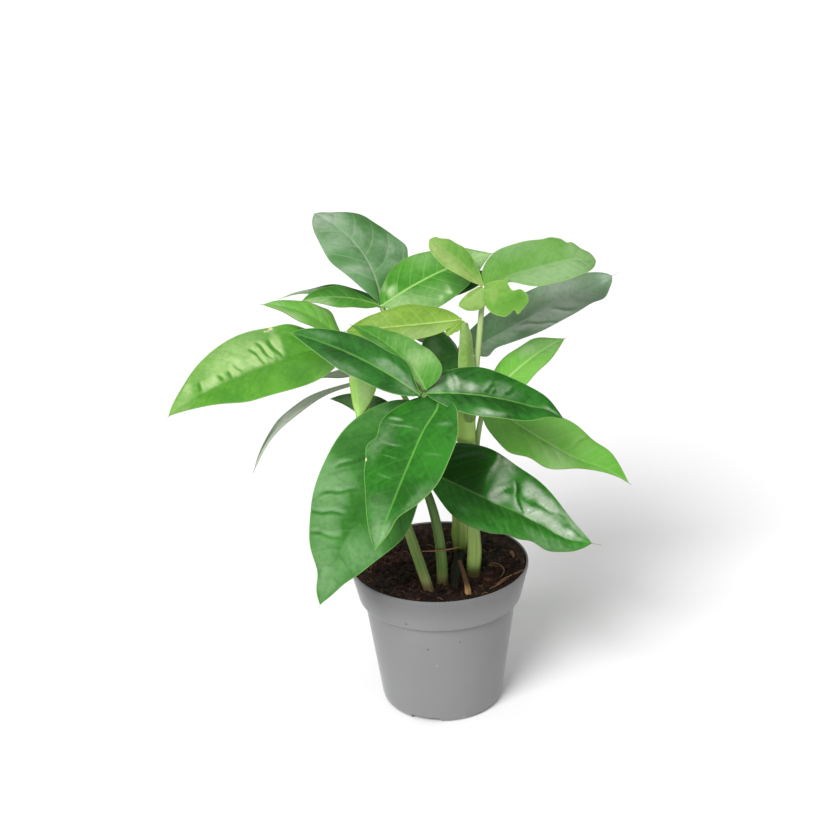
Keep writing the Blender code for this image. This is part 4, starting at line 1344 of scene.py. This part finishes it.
def pot_material(settings):
    """Polypropylene, injection moulded: even satin grey with a fine grain and a few specks, with
    painted shade on the collar towards the rim.
    """
    material, tree, shader = new_material("moulded polypropylene")
    place = add_node(tree, "ShaderNodeTexCoord").outputs["Object"]
    # The grey varies a little, in patches about 38 mm wide.
    cloud = add_node(
        tree, "ShaderNodeTexNoise", {"Vector": place, "Scale": 26.0, "Detail": 4.0}
    ).outputs["Fac"]
    base = Vector(settings.plastic)
    colour = add_node(
        tree, "ShaderNodeMix",
        {"Factor": cloud, "A": (*(base * 0.93), 1), "B": (*(base * 1.07), 1)},
        data_type="RGBA",
    ).outputs["Result"]
    # Layers: what each one reads, from and to where it fades, how strong it is there, its colour.
    # The first darkens the collar a little towards the rim, as painted shade.
    height = add_node(tree, "ShaderNodeSeparateXYZ", {0: place}).outputs["Z"]
    top = settings.height
    layers = [(height, top - 22 * MM, top - 2 * MM, 0.0, 0.75, "#6d6d6e")]
    # The others are specks of other plastic and crumbs stuck to it, each where it sits.
    for x, up, radius, shade in SPECKS:
        away = add_node(
            tree, "ShaderNodeVectorMath", {0: place, 1: wall_point(settings, x, up)},
            operation="DISTANCE",
        ).outputs["Value"]
        layers.append((away, radius * 0.5 * MM, radius * MM, 0.75, 0.0, shade))
    for value, low, high, start, end, layer in layers:
        mask = add_node(
            tree, "ShaderNodeMapRange", {0: value, 1: low, 2: high, 3: start, 4: end},
            interpolation_type="SMOOTHSTEP",
        ).outputs[0]
        colour = add_node(
            tree, "ShaderNodeMix", {"Factor": mask, "A": colour, "B": layer}, data_type="RGBA"
        ).outputs["Result"]
    # The mould's grain is drawn 1.1 mm wide, because the real one is too fine to show.
    grain = add_node(
        tree, "ShaderNodeTexNoise", {"Vector": place, "Scale": 900.0, "Detail": 3.0}
    ).outputs["Fac"]
    rough = add_node(
        tree, "ShaderNodeMapRange", {0: cloud, 1: 0.3, 2: 0.7, 3: 0.42, 4: 0.52}
    ).outputs[0]
    bump = add_node(
        tree, "ShaderNodeBump", {"Height": grain, "Strength": 0.12, "Distance": 0.1 * MM}
    ).outputs[0]
    # The sheen is fine dust, which lightens the plastic where it curves away.
    fill_inputs(
        tree, shader,
        {
            "Base Color": colour, "Roughness": rough, "Normal": bump, "IOR": 1.49,
            "Sheen Weight": 0.5, "Sheen Roughness": 0.4,
        },
    )
    return material


# The potting mix: its radius on top, how many rings and sectors of mesh are on that, and the
# (radius, height) of its side down inside the pot.
MIX_RADIUS = 58.2
MIX_RINGS, MIX_SECTORS = 46, 128
MIX_SIDE = ((53.0, 79.6), (49.6, 77.4), (38.9, 2.3))
# Where the stems and stalks enter the potting mix, which is heaped round them.
FEET = ((14.5, 19), (22.5, -11), (1.5, -23.5), (-7, -31.5))


# The mix slopes up to the wall from this far out, by this much over this length.
SLOPE_FROM, SLOPE_RISE, SLOPE_LENGTH = 42, 5.5, 16
# How high its lumps are, and how many there are to a millimetre.
LUMP_HEIGHT, LUMPS_PER_MM = 2.1, 0.075
# How high it is heaped round each foot, and the square of how far a heap spreads.
HEAP_HEIGHT, HEAP_SPREAD_SQUARED = 1.8, 50
# How far above its level the highest place may be.
HIGHEST = 5.8


def soil_height(x, y, level):
    """Height of the potting mix in millimetres at a place in the pot."""
    radius = math.hypot(x, y)
    slope = SLOPE_RISE * max(0.0, (radius - SLOPE_FROM) / SLOPE_LENGTH) ** 1.3
    lumps = noise.fractal(Vector((x * LUMPS_PER_MM, y * LUMPS_PER_MM, 3.1)), 1.0, 2.2, 4)
    heap = sum(
        HEAP_HEIGHT * math.exp(-((x - a) ** 2 + (y - b) ** 2) / HEAP_SPREAD_SQUARED)
        for a, b in FEET
    )
    return min(level + slope + LUMP_HEIGHT * lumps + heap, level + HIGHEST)


def soil_material(settings):
    """Damp peat and composted bark: dark, matt, with reddish and pale grains."""
    material, tree, shader = new_material("potting mix")
    place = add_node(tree, "ShaderNodeTexCoord").outputs["Object"]
    # The grains are up to 4 mm wide, with finer ones in and between them.
    grains = add_node(
        tree, "ShaderNodeTexNoise", {"Vector": place, "Scale": 260.0, "Detail": 6.0}
    ).outputs["Fac"]
    patches = add_node(
        tree, "ShaderNodeTexNoise", {"Vector": place, "Scale": 45.0, "Detail": 3.0}
    ).outputs["Fac"]
    ramp = add_node(tree, "ShaderNodeValToRGB", {"Fac": grains})
    peat = Vector(settings.peat)
    ramp.color_ramp.elements.new(0.52)
    low, middle, high = ramp.color_ramp.elements
    low.position, high.position = 0.30, 0.72
    low.color = (*(peat * 0.25), 1)
    middle.color = (*peat, 1)
    high.color = (*to_linear("#6e4636"), 1)
    # The mix is darkest and dampest in soft patches of about 2 cm.
    damp = add_node(
        tree, "ShaderNodeMapRange", {0: patches, 1: 0.4, 2: 0.6, 3: 0.35, 4: 0.9},
        interpolation_type="SMOOTHSTEP",
    ).outputs[0]
    colour = add_node(
        tree, "ShaderNodeMix",
        {"Factor": damp, "A": ramp.outputs["Color"], "B": (*(peat * 0.3), 1)},
        data_type="RGBA",
    ).outputs["Result"]
    bump = add_node(
        tree, "ShaderNodeBump", {"Height": grains, "Strength": 0.8, "Distance": 1.0 * MM}
    ).outputs[0]
    fill_inputs(tree, shader, {"Base Color": colour, "Normal": bump, "Roughness": 0.9})
    return material


# Fibres and a chip of bark that lie in plain sight: (x, y, z, radius) along each.
LOOSE_FIBRES = (
    ((35.7, -33.2, 98, 0.3), (39.9, -28.4, 99.5, 0.5), (47.7, -20.5, 99.5, 0.5), (56, -16.3, 101, 0.3)),
    ((31, -36, 97.5, 0.25), (38, -31.5, 98.5, 0.35), (44, -25, 98.8, 0.3), (49, -21.5, 98.5, 0.25)),
    ((-12.5, -27.5, 122.5, 0.35), (-4, -29.2, 123.6, 0.5), (7.6, -28, 124, 0.5), (13.5, -25.4, 124, 0.3)),
    ((50.8, 7.4, 98, 0.5), (50.3, 10.5, 98.8, 1.3), (49.6, 14, 98.8, 1.5), (49.3, 16.5, 98.4, 0.6)),
    ((36, 4, 96.8, 0.25), (41, -3, 98, 0.35), (43, -12, 98.2, 0.35), (40, -19, 97.5, 0.25)),
)


# The strewn fibres: how far from the axis their middles and their ends may lie, how long they may
# be, how many points each has, how far its middle is above the mix and its ends are below that, and
# the radius of the thinnest and how much thicker the others may be.
FIBRE_SPREAD, FIBRE_REACH = 52, 56
FIBRE_LENGTHS = (4, 13)
FIBRE_POINTS = 9
FIBRE_LIFT, FIBRE_ARCH = 0.9, 2.4
FIBRE_RADIUS, FIBRE_SPARE = 0.12, 0.2


def fibre_strands(count, level):
    """Short bent fibres that lie on the potting mix."""
    draw = np.random.default_rng(8)
    strands = []
    for _ in range(count):
        radius = FIBRE_SPREAD * math.sqrt(draw.uniform(0.02, 1))
        turn = draw.uniform(0, 2 * math.pi)
        x, y = radius * math.cos(turn), radius * math.sin(turn)
        heading = draw.uniform(0, 2 * math.pi)
        length, bend = draw.uniform(*FIBRE_LENGTHS), draw.uniform(-1, 1)
        points = []
        for step in np.linspace(-0.5, 0.5, FIBRE_POINTS):
            angle = heading + bend * step * 2
            px, py = x + length * step * math.cos(angle), y + length * step * math.sin(angle)
            reach = max(1.0, math.hypot(px, py) / FIBRE_REACH)
            px, py = px / reach, py / reach
            lift = FIBRE_LIFT - FIBRE_ARCH * abs(step)
            points.append((px, py, soil_height(px, py, level) + lift))
        strands.append((points, [FIBRE_RADIUS + FIBRE_SPARE * draw.random()] * FIBRE_POINTS))
    return strands


def litter_tree():
    """Geometry nodes that strew crumbs over the upward faces of the potting mix."""
    tree = bpy.data.node_groups.new("Strewn crumbs", "GeometryNodeTree")
    tree.interface.new_socket("Ground", in_out="INPUT", socket_type="NodeSocketGeometry")
    for name, kind, value in (
        ("Per square metre", "NodeSocketFloat", 250000.0),
        ("Smallest", "NodeSocketFloat", 0.4 * MM),
        ("Largest", "NodeSocketFloat", 2.2 * MM),
        ("Unevenness", "NodeSocketFloat", 0.9 * MM),
        ("Reach", "NodeSocketFloat", 55.0 * MM),
        ("Facets", "NodeSocketInt", 1),
        ("Seed", "NodeSocketInt", 4),
        ("Material", "NodeSocketMaterial", None),
    ):
        socket = tree.interface.new_socket(name, in_out="INPUT", socket_type=kind)
        if value is not None:
            socket.default_value = value
    tree.interface.new_socket("Crumbs", in_out="OUTPUT", socket_type="NodeSocketGeometry")
    given = add_node(tree, "NodeGroupInput").outputs
    normal = add_node(tree, "GeometryNodeInputNormal").outputs[0]
    upward = add_node(tree, "ShaderNodeSeparateXYZ", {0: normal}).outputs["Z"]
    top = add_node(tree, "ShaderNodeMath", {0: upward, 1: 0.4}, operation="GREATER_THAN").outputs[0]
    # Nothing lies so near the pot's wall that it would stick through it.
    position = add_node(tree, "GeometryNodeInputPosition").outputs[0]
    level = add_node(
        tree, "ShaderNodeVectorMath", {0: position, 1: (1, 1, 0)}, operation="MULTIPLY"
    ).outputs[0]
    away = add_node(tree, "ShaderNodeVectorMath", {0: level}, operation="LENGTH").outputs["Value"]
    inside = add_node(
        tree, "ShaderNodeMath", {0: away, 1: given["Reach"]}, operation="LESS_THAN"
    ).outputs[0]
    top = add_node(tree, "ShaderNodeMath", {0: top, 1: inside}, operation="MULTIPLY").outputs[0]
    points = add_node(
        tree, "GeometryNodeDistributePointsOnFaces",
        {
            "Mesh": given["Ground"], "Selection": top,
            "Density": given["Per square metre"], "Seed": given["Seed"],
        },
    ).outputs
    size = add_node(
        tree, "FunctionNodeRandomValue", {2: 0.0, 3: 1.0, "Seed": given["Seed"]}, data_type="FLOAT"
    ).outputs[1]
    # Cubed, so that most crumbs are small.
    size = add_node(tree, "ShaderNodeMath", {0: size, 1: 3.0}, operation="POWER").outputs[0]
    size = add_node(
        tree, "ShaderNodeMapRange",
        {0: size, 1: 0.0, 2: 1.0, 3: given["Smallest"], 4: given["Largest"]},
    ).outputs[0]
    turn = add_node(
        tree, "FunctionNodeRandomValue",
        {0: (0, 0, 0), 1: (6.28, 6.28, 6.28), "Seed": given["Seed"]}, data_type="FLOAT_VECTOR",
    ).outputs[0]
    crumb = add_node(
        tree, "GeometryNodeMeshIcoSphere", {"Radius": 1.0, "Subdivisions": given["Facets"]}
    ).outputs["Mesh"]
    strewn = add_node(
        tree, "GeometryNodeInstanceOnPoints",
        {"Points": points["Points"], "Instance": crumb, "Rotation": turn, "Scale": size},
    ).outputs[0]
    flat = add_node(
        tree, "FunctionNodeRandomValue",
        {0: (0.6, 0.5, 0.3), 1: (1.5, 1.1, 0.8), "Seed": given["Seed"]}, data_type="FLOAT_VECTOR",
    ).outputs[0]
    strewn = add_node(
        tree, "GeometryNodeScaleInstances", {"Instances": strewn, "Scale": flat}
    ).outputs[0]
    real = add_node(tree, "GeometryNodeRealizeInstances", {"Geometry": strewn}).outputs[0]
    # Uneven faces: each point of a crumb moves by noise that changes about every millimetre.
    jitter = add_node(
        tree, "ShaderNodeTexNoise", {"Scale": 900.0, "Detail": 1.0}, noise_dimensions="3D"
    ).outputs["Color"]
    jitter = add_node(
        tree, "ShaderNodeVectorMath", {0: jitter, 1: (0.5, 0.5, 0.5)}, operation="SUBTRACT"
    ).outputs[0]
    jitter = add_node(
        tree, "ShaderNodeVectorMath", {0: jitter, "Scale": given["Unevenness"]}, operation="SCALE"
    ).outputs[0]
    rough = add_node(
        tree, "GeometryNodeSetPosition", {"Geometry": real, "Offset": jitter}
    ).outputs[0]
    dressed = add_node(
        tree, "GeometryNodeSetMaterial", {"Geometry": rough, "Material": given["Material"]}
    ).outputs[0]
    add_node(tree, "NodeGroupOutput", {"Crumbs": dressed})
    return tree


# Stage.

# Softboxes that only the gloss shows: overhead, in the key light's place, and a narrow one. Each has
# its place and width in metres, and its radiance.
SOFTBOXES = (
    ("overhead softbox", (0.15, 0.1, 1.7), 1.3, 1.8),
    ("key softbox", (-0.70, -1.20, 1.39), 0.9, 2.4),
    ("narrow softbox", (0.56, -0.58, 1.22), 0.30, 12.0),
)
SOFTBOX_AIM = (0, 0, 0.22)
# The key light shines down from the front left, and its angle softens its shadows.
KEY_HEADING = (0.50, 0.85, -0.84)
KEY_ANGLE = 30
# Half the side of the floor in metres, wide enough to fill the view to its horizon.
FLOOR_HALF = 60.0
# The camera: what it looks at and how far off it stands, in metres, its tilt down and its roll in
# degrees, and its lens and sensor in millimetres.
CAMERA_AIM = (-0.010, 0, 0.204)
CAMERA_DISTANCE = 1.061
CAMERA_PITCH = 22.2
CAMERA_ROLL = -1.8
CAMERA_LENS = 70
CAMERA_SENSOR = 36


# Operators.

class SYNGONIUM_OT_stage(bpy.types.Operator):
    """Adds the floor, the lights and the camera."""

    bl_idname = "syngonium.stage"
    bl_label = "Add stage"

    def execute(self, context):
        settings = context.scene.syngonium_stage
        shape = bmesh.new()
        bmesh.ops.create_grid(shape, x_segments=2, y_segments=2, size=FLOOR_HALF)
        floor = finished(shape, "floor")
        # A matt white backdrop has no gloss, and takes soft grey shadows.
        material, tree, shader = new_material("matt white backdrop")
        fill_inputs(
            tree, shader,
            {
                "Base Color": (*settings.floor_colour, 1), "Roughness": 0.9,
                "Specular IOR Level": 0.0,
            },
        )
        floor.data.materials.append(material)
        floor.visible_glossy = False

        lamp = bpy.data.lights.new("key", "SUN")
        lamp.energy = settings.key_strength
        lamp.angle = math.radians(KEY_ANGLE)
        key = link_object(bpy.data.objects.new("key", lamp))
        key.visible_glossy = False
        key.rotation_euler = Vector(KEY_HEADING).to_track_quat("-Z", "Y").to_euler()
        for name, place, width, radiance in SOFTBOXES:
            lamp = bpy.data.lights.new(name, "AREA")
            lamp.shape = "SQUARE"
            lamp.size = width
            # An area light's radiance is its power over its area and a factor of pi.
            lamp.energy = radiance * math.pi * width**2
            softbox = link_object(bpy.data.objects.new(name, lamp))
            softbox.location = place
            heading = Vector(SOFTBOX_AIM) - Vector(place)
            softbox.rotation_euler = heading.to_track_quat("-Z", "Y").to_euler()
            softbox.visible_diffuse = False
            softbox.visible_camera = False

        world = bpy.data.worlds.new("studio")
        context.scene.world = world
        world.use_nodes = True
        # Glossy rays meet a dimmer room than the walls' bounce makes for matt surfaces.
        glossy = add_node(world.node_tree, "ShaderNodeLightPath").outputs["Is Glossy Ray"]
        dimmed = add_node(
            world.node_tree, "ShaderNodeMapRange",
            {0: glossy, 3: settings.fill_strength, 4: settings.fill_strength * 0.25},
        ).outputs[0]
        background = world.node_tree.nodes["Background"]
        fill_inputs(world.node_tree, background, {"Color": (1, 1, 1, 1), "Strength": dimmed})
        context.scene.view_settings.view_transform = "Standard"

        camera = link_object(bpy.data.objects.new("camera", bpy.data.cameras.new("camera")))
        camera.data.lens = CAMERA_LENS
        camera.data.sensor_width = CAMERA_SENSOR
        camera.data.clip_end = 50
        pitch, roll = math.radians(CAMERA_PITCH), math.radians(CAMERA_ROLL)
        forward = Vector((0, math.cos(pitch), -math.sin(pitch)))
        turned = Matrix.Rotation(-roll, 3, forward)
        right = turned @ Vector((1, 0, 0))
        above = turned @ Vector((0, math.sin(pitch), math.cos(pitch)))
        camera.matrix_world = Matrix((right, above, -forward)).transposed().to_4x4()
        camera.location = Vector(CAMERA_AIM) - forward * CAMERA_DISTANCE
        context.scene.camera = camera
        return {"FINISHED"}


class SYNGONIUM_OT_pot(bpy.types.Operator):
    """Builds the moulded grow pot."""

    bl_idname = "syngonium.pot"
    bl_label = "Build pot"

    def execute(self, context):
        settings = context.scene.syngonium_pot
        solid = lathe("pot_solid", pot_profile(settings), POT_STEPS)
        for material in (pot_material(settings), dark_inside_material()):
            solid.data.materials.append(material)
        for face in solid.data.polygons:
            face.material_index = 1 if face.index // POT_STEPS < INSIDE_POINTS else 0
        cutters = []
        for k in range(NOTCH_COUNT):
            shape = bmesh.new()
            bmesh.ops.create_cube(shape, size=1.0)
            bmesh.ops.scale(shape, vec=[side * MM for side in NOTCH_SIZE], verts=shape.verts)
            bmesh.ops.bevel(
                shape, geom=shape.edges[:], offset=NOTCH_ROUND * MM, segments=3, affect="EDGES",
                profile=0.5,
            )
            turn = math.radians(NOTCH_TURN + 360 / NOTCH_COUNT * k)
            place = Matrix.Rotation(turn, 4, "Z") @ Matrix.Translation((NOTCH_AT * MM, 0, 0))
            bmesh.ops.transform(shape, matrix=place, verts=shape.verts)
            cutter = finished(shape, "notch")
            cut = solid.modifiers.new("Notch", "BOOLEAN")
            cut.operation = "DIFFERENCE"
            cut.object = cutter
            cutters.append(cutter)
        pot = baked(solid, "grow_pot")
        for cutter in cutters:
            bpy.data.objects.remove(cutter)
        pot.data.shade_smooth()
        pot.data.set_sharp_from_angle(angle=math.radians(40))
        hand_over(pot, "grow_pot_plastic", "pot")
        return {"FINISHED"}


# What is strewn on the mix: its setting, and what it gives the litter tree beside its number.
LITTER = {
    "soil_crumbs": (
        "crumbs",
        {
            "smallest": 0.4 * MM, "largest": 1.7 * MM, "facets": 1, "seed": 4,
            "reach": 55.5 * MM,
        },
    ),
    "bark_lumps": (
        "lumps",
        {
            "smallest": 1.3 * MM, "largest": 3.6 * MM, "facets": 2, "seed": 9,
            "unevenness": 1.7 * MM, "reach": 51 * MM,
        },
    ),
}


class SYNGONIUM_OT_soil(bpy.types.Operator):
    """Fills the pot with potting mix and strews crumbs, bark and fibres on it."""

    bl_idname = "syngonium.soil"
    bl_label = "Fill with potting mix"

    def execute(self, context):
        settings = context.scene.syngonium_soil
        level = settings.level / MM
        rings, sectors = MIX_RINGS, MIX_SECTORS
        shape = bmesh.new()
        centre = shape.verts.new((0, 0, soil_height(0, 0, level) * MM))
        rows = [
            ring_of(
                shape, MIX_RADIUS * ring / rings, sectors, lambda x, y: soil_height(x, y, level)
            )
            for ring in range(1, rings + 1)
        ]
        rows += [ring_of(shape, radius, sectors, height) for radius, height in MIX_SIDE]
        for k in range(sectors):
            j = (k + 1) % sectors
            shape.faces.new((centre, rows[0][k], rows[0][j]))
            for inner, outer in zip(rows, rows[1:]):
                shape.faces.new((inner[k], outer[k], outer[j], inner[j]))
        shape.faces.new(reversed(rows[-1]))
        bmesh.ops.recalc_face_normals(shape, faces=shape.faces)
        mix = finished(shape, "potting_mix")
        mix.data.shade_smooth()
        material = soil_material(settings)
        mix.data.materials.append(material)
        hand_over(mix, "potting_mix", "soil")

        tree = litter_tree()
        area = math.pi * (MIX_RADIUS * MM) ** 2
        for name, (setting, given) in LITTER.items():
            litter = link_object(bpy.data.objects.new(name + "_ground", mix.data.copy()))
            modifier = litter.modifiers.new("Litter", "NODES")
            modifier.node_group = tree
            density = getattr(settings, setting) / area
            set_inputs(modifier, per_square_metre=density, material=material, **given)
            hand_over(baked(litter, name), "potting_mix")
        strands = [smooth_path(places, 24) for places in LOOSE_FIBRES]
        strands += fibre_strands(settings.fibres, level)
        fibres = build_tubes(
            "coir_fibres", strands, stalk_tree(), stalk_material("coir fibre", COIR),
            ribs=3.0, rib_depth=0.1, sides=6,
        )
        hand_over(fibres, "dry_stub")
        return {"FINISHED"}


# The round pieces other than leaf stalks: each one's line, the steps along it, its skin, how many
# ribs it has and how deep they are, its slot, and the CAD node that it stands for, if any.
TUBES = {
    "left_stem_skin": (
        STEMS["left_stem"], 64, "sheathed stem", 7.0, 0.03, "stalk_green", "left_stem"
    ),
    "right_stem_skin": (
        STEMS["right_stem"], 64, "sheathed stem", 7.0, 0.03, "stalk_green", "right_stem"
    ),
    "old_stem_base": (PAINTED_SHADE_STEM, 24, "dark old stem", 5.0, 0.08, "stalk_green"),
    "dry_stub": (STUB, 24, "dry stub", 6.0, 0.12, "dry_stub", "dead_stub"),
}
# The skin of a leaf's stalk, where it isn't the fleshy one.
STALK_SKINS = {
    "low": "shaded stalk", "front": "shaded stalk",
    "crown": "young stalk", "pale": "young stalk", "right": "young stalk",
}


class SYNGONIUM_OT_stems(bpy.types.Operator):
    """Builds the sheathed stems, the dark stem of painted shade, the dead stub and the leaf stalks."""

    bl_idname = "syngonium.stems"
    bl_label = "Grow stems and stalks"

    def execute(self, context):
        tree = stalk_tree()
        skins = {name: stalk_material(name, skin) for name, skin in SKINS.items()}
        for name, (line, steps, skin, ribs, depth, slot, *nodes) in TUBES.items():
            tube = build_tubes(
                name, [smooth_path(line, steps)], tree, skins[skin], ribs=ribs, rib_depth=depth
            )
            hand_over(tube, slot, *nodes)
        for name, leaf in LEAVES.items():
            skin = skins[STALK_SKINS.get(name, "fleshy stalk")]
            stalk = build_tubes(name + "_leaf_stalk", [stalk_path(leaf)], tree, skin)
            hand_over(stalk, "stalk_green", name + "_stalk")
        return {"FINISHED"}


# The record's slot for the blades of each leaf and for each sheath.
SLOTS = {
    "front": "dark_leaf", "low": "dark_leaf", "hanging": "mid_leaf", "right": "fresh_leaf",
    "fresh": "fresh_leaf", "left": "fresh_leaf", "crown": "pale_leaf", "pale": "pale_leaf",
    "tall": "old_leaf", "back": "old_leaf", "drooping": "old_leaf",
    "pale_sheath": "pale_leaf", "left_sheath": "stalk_green",
}


class SYNGONIUM_OT_leaves(bpy.types.Operator):
    """Builds every leaflet and the winged sheaths."""

    bl_idname = "syngonium.leaves"
    bl_label = "Grow leaves"

    def execute(self, context):
        settings = context.scene.syngonium_leaf
        materials = {name: leaf_materials(name) for name in LOOKS}
        for name, leaf in LEAVES.items():
            for place, leaflet in leaf.leaflets.items():
                blade = build_blade(
                    f"{name}_leaf_{place}", leaf.hub, leaflet, materials[leaflet.look or leaf.look],
                    settings, leaf.neck_radius,
                )
                hand_over(blade, SLOTS[name], f"{name}_leaflet_{place}")
        for name, (foot, leaflet) in SHEATHS.items():
            skin = materials[leaflet.look or "sheath"]
            blade = build_blade(name + "_wing", foot, leaflet, skin, settings, SHEATH_NECK)
            hand_over(blade, SLOTS[name], name)
        return {"FINISHED"}


class SYNGONIUM_PT_panel(bpy.types.Panel):
    """Lists the steps in the 3D view's sidebar."""

    bl_label = "Potted syngonium"
    bl_space_type = "VIEW_3D"
    bl_region_type = "UI"
    bl_category = "Syngonium"

    def draw(self, context):
        for group in ("pot", "soil", "leaf", "stage"):
            settings = getattr(context.scene, "syngonium_" + group)
            box = self.layout.box()
            for name in settings.__annotations__:
                box.prop(settings, name)
        for operator in OPERATORS:
            self.layout.operator(operator.bl_idname)


OPERATORS = (
    SYNGONIUM_OT_stage, SYNGONIUM_OT_pot, SYNGONIUM_OT_soil, SYNGONIUM_OT_stems,
    SYNGONIUM_OT_leaves,
)
SETTINGS = {
    "pot": PotSettings, "soil": SoilSettings, "leaf": LeafSettings, "stage": StageSettings,
}


def register():
    for group, kind in SETTINGS.items():
        bpy.utils.register_class(kind)
        setattr(bpy.types.Scene, "syngonium_" + group, PointerProperty(type=kind))
    for kind in (*OPERATORS, SYNGONIUM_PT_panel):
        bpy.utils.register_class(kind)


def unregister():
    for kind in (*OPERATORS, SYNGONIUM_PT_panel):
        bpy.utils.unregister_class(kind)
    for group, kind in SETTINGS.items():
        delattr(bpy.types.Scene, "syngonium_" + group)
        bpy.utils.unregister_class(kind)


def main():
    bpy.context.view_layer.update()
    register()
    for name in ("Cube", "Light", "Camera"):
        if name in bpy.data.objects:
            bpy.data.objects.remove(bpy.data.objects[name])
    bpy.ops.syngonium.stage()
    bpy.ops.syngonium.pot()
    bpy.ops.syngonium.soil()
    bpy.ops.syngonium.stems()
    bpy.ops.syngonium.leaves()


if __name__ == "__main__":
    main()
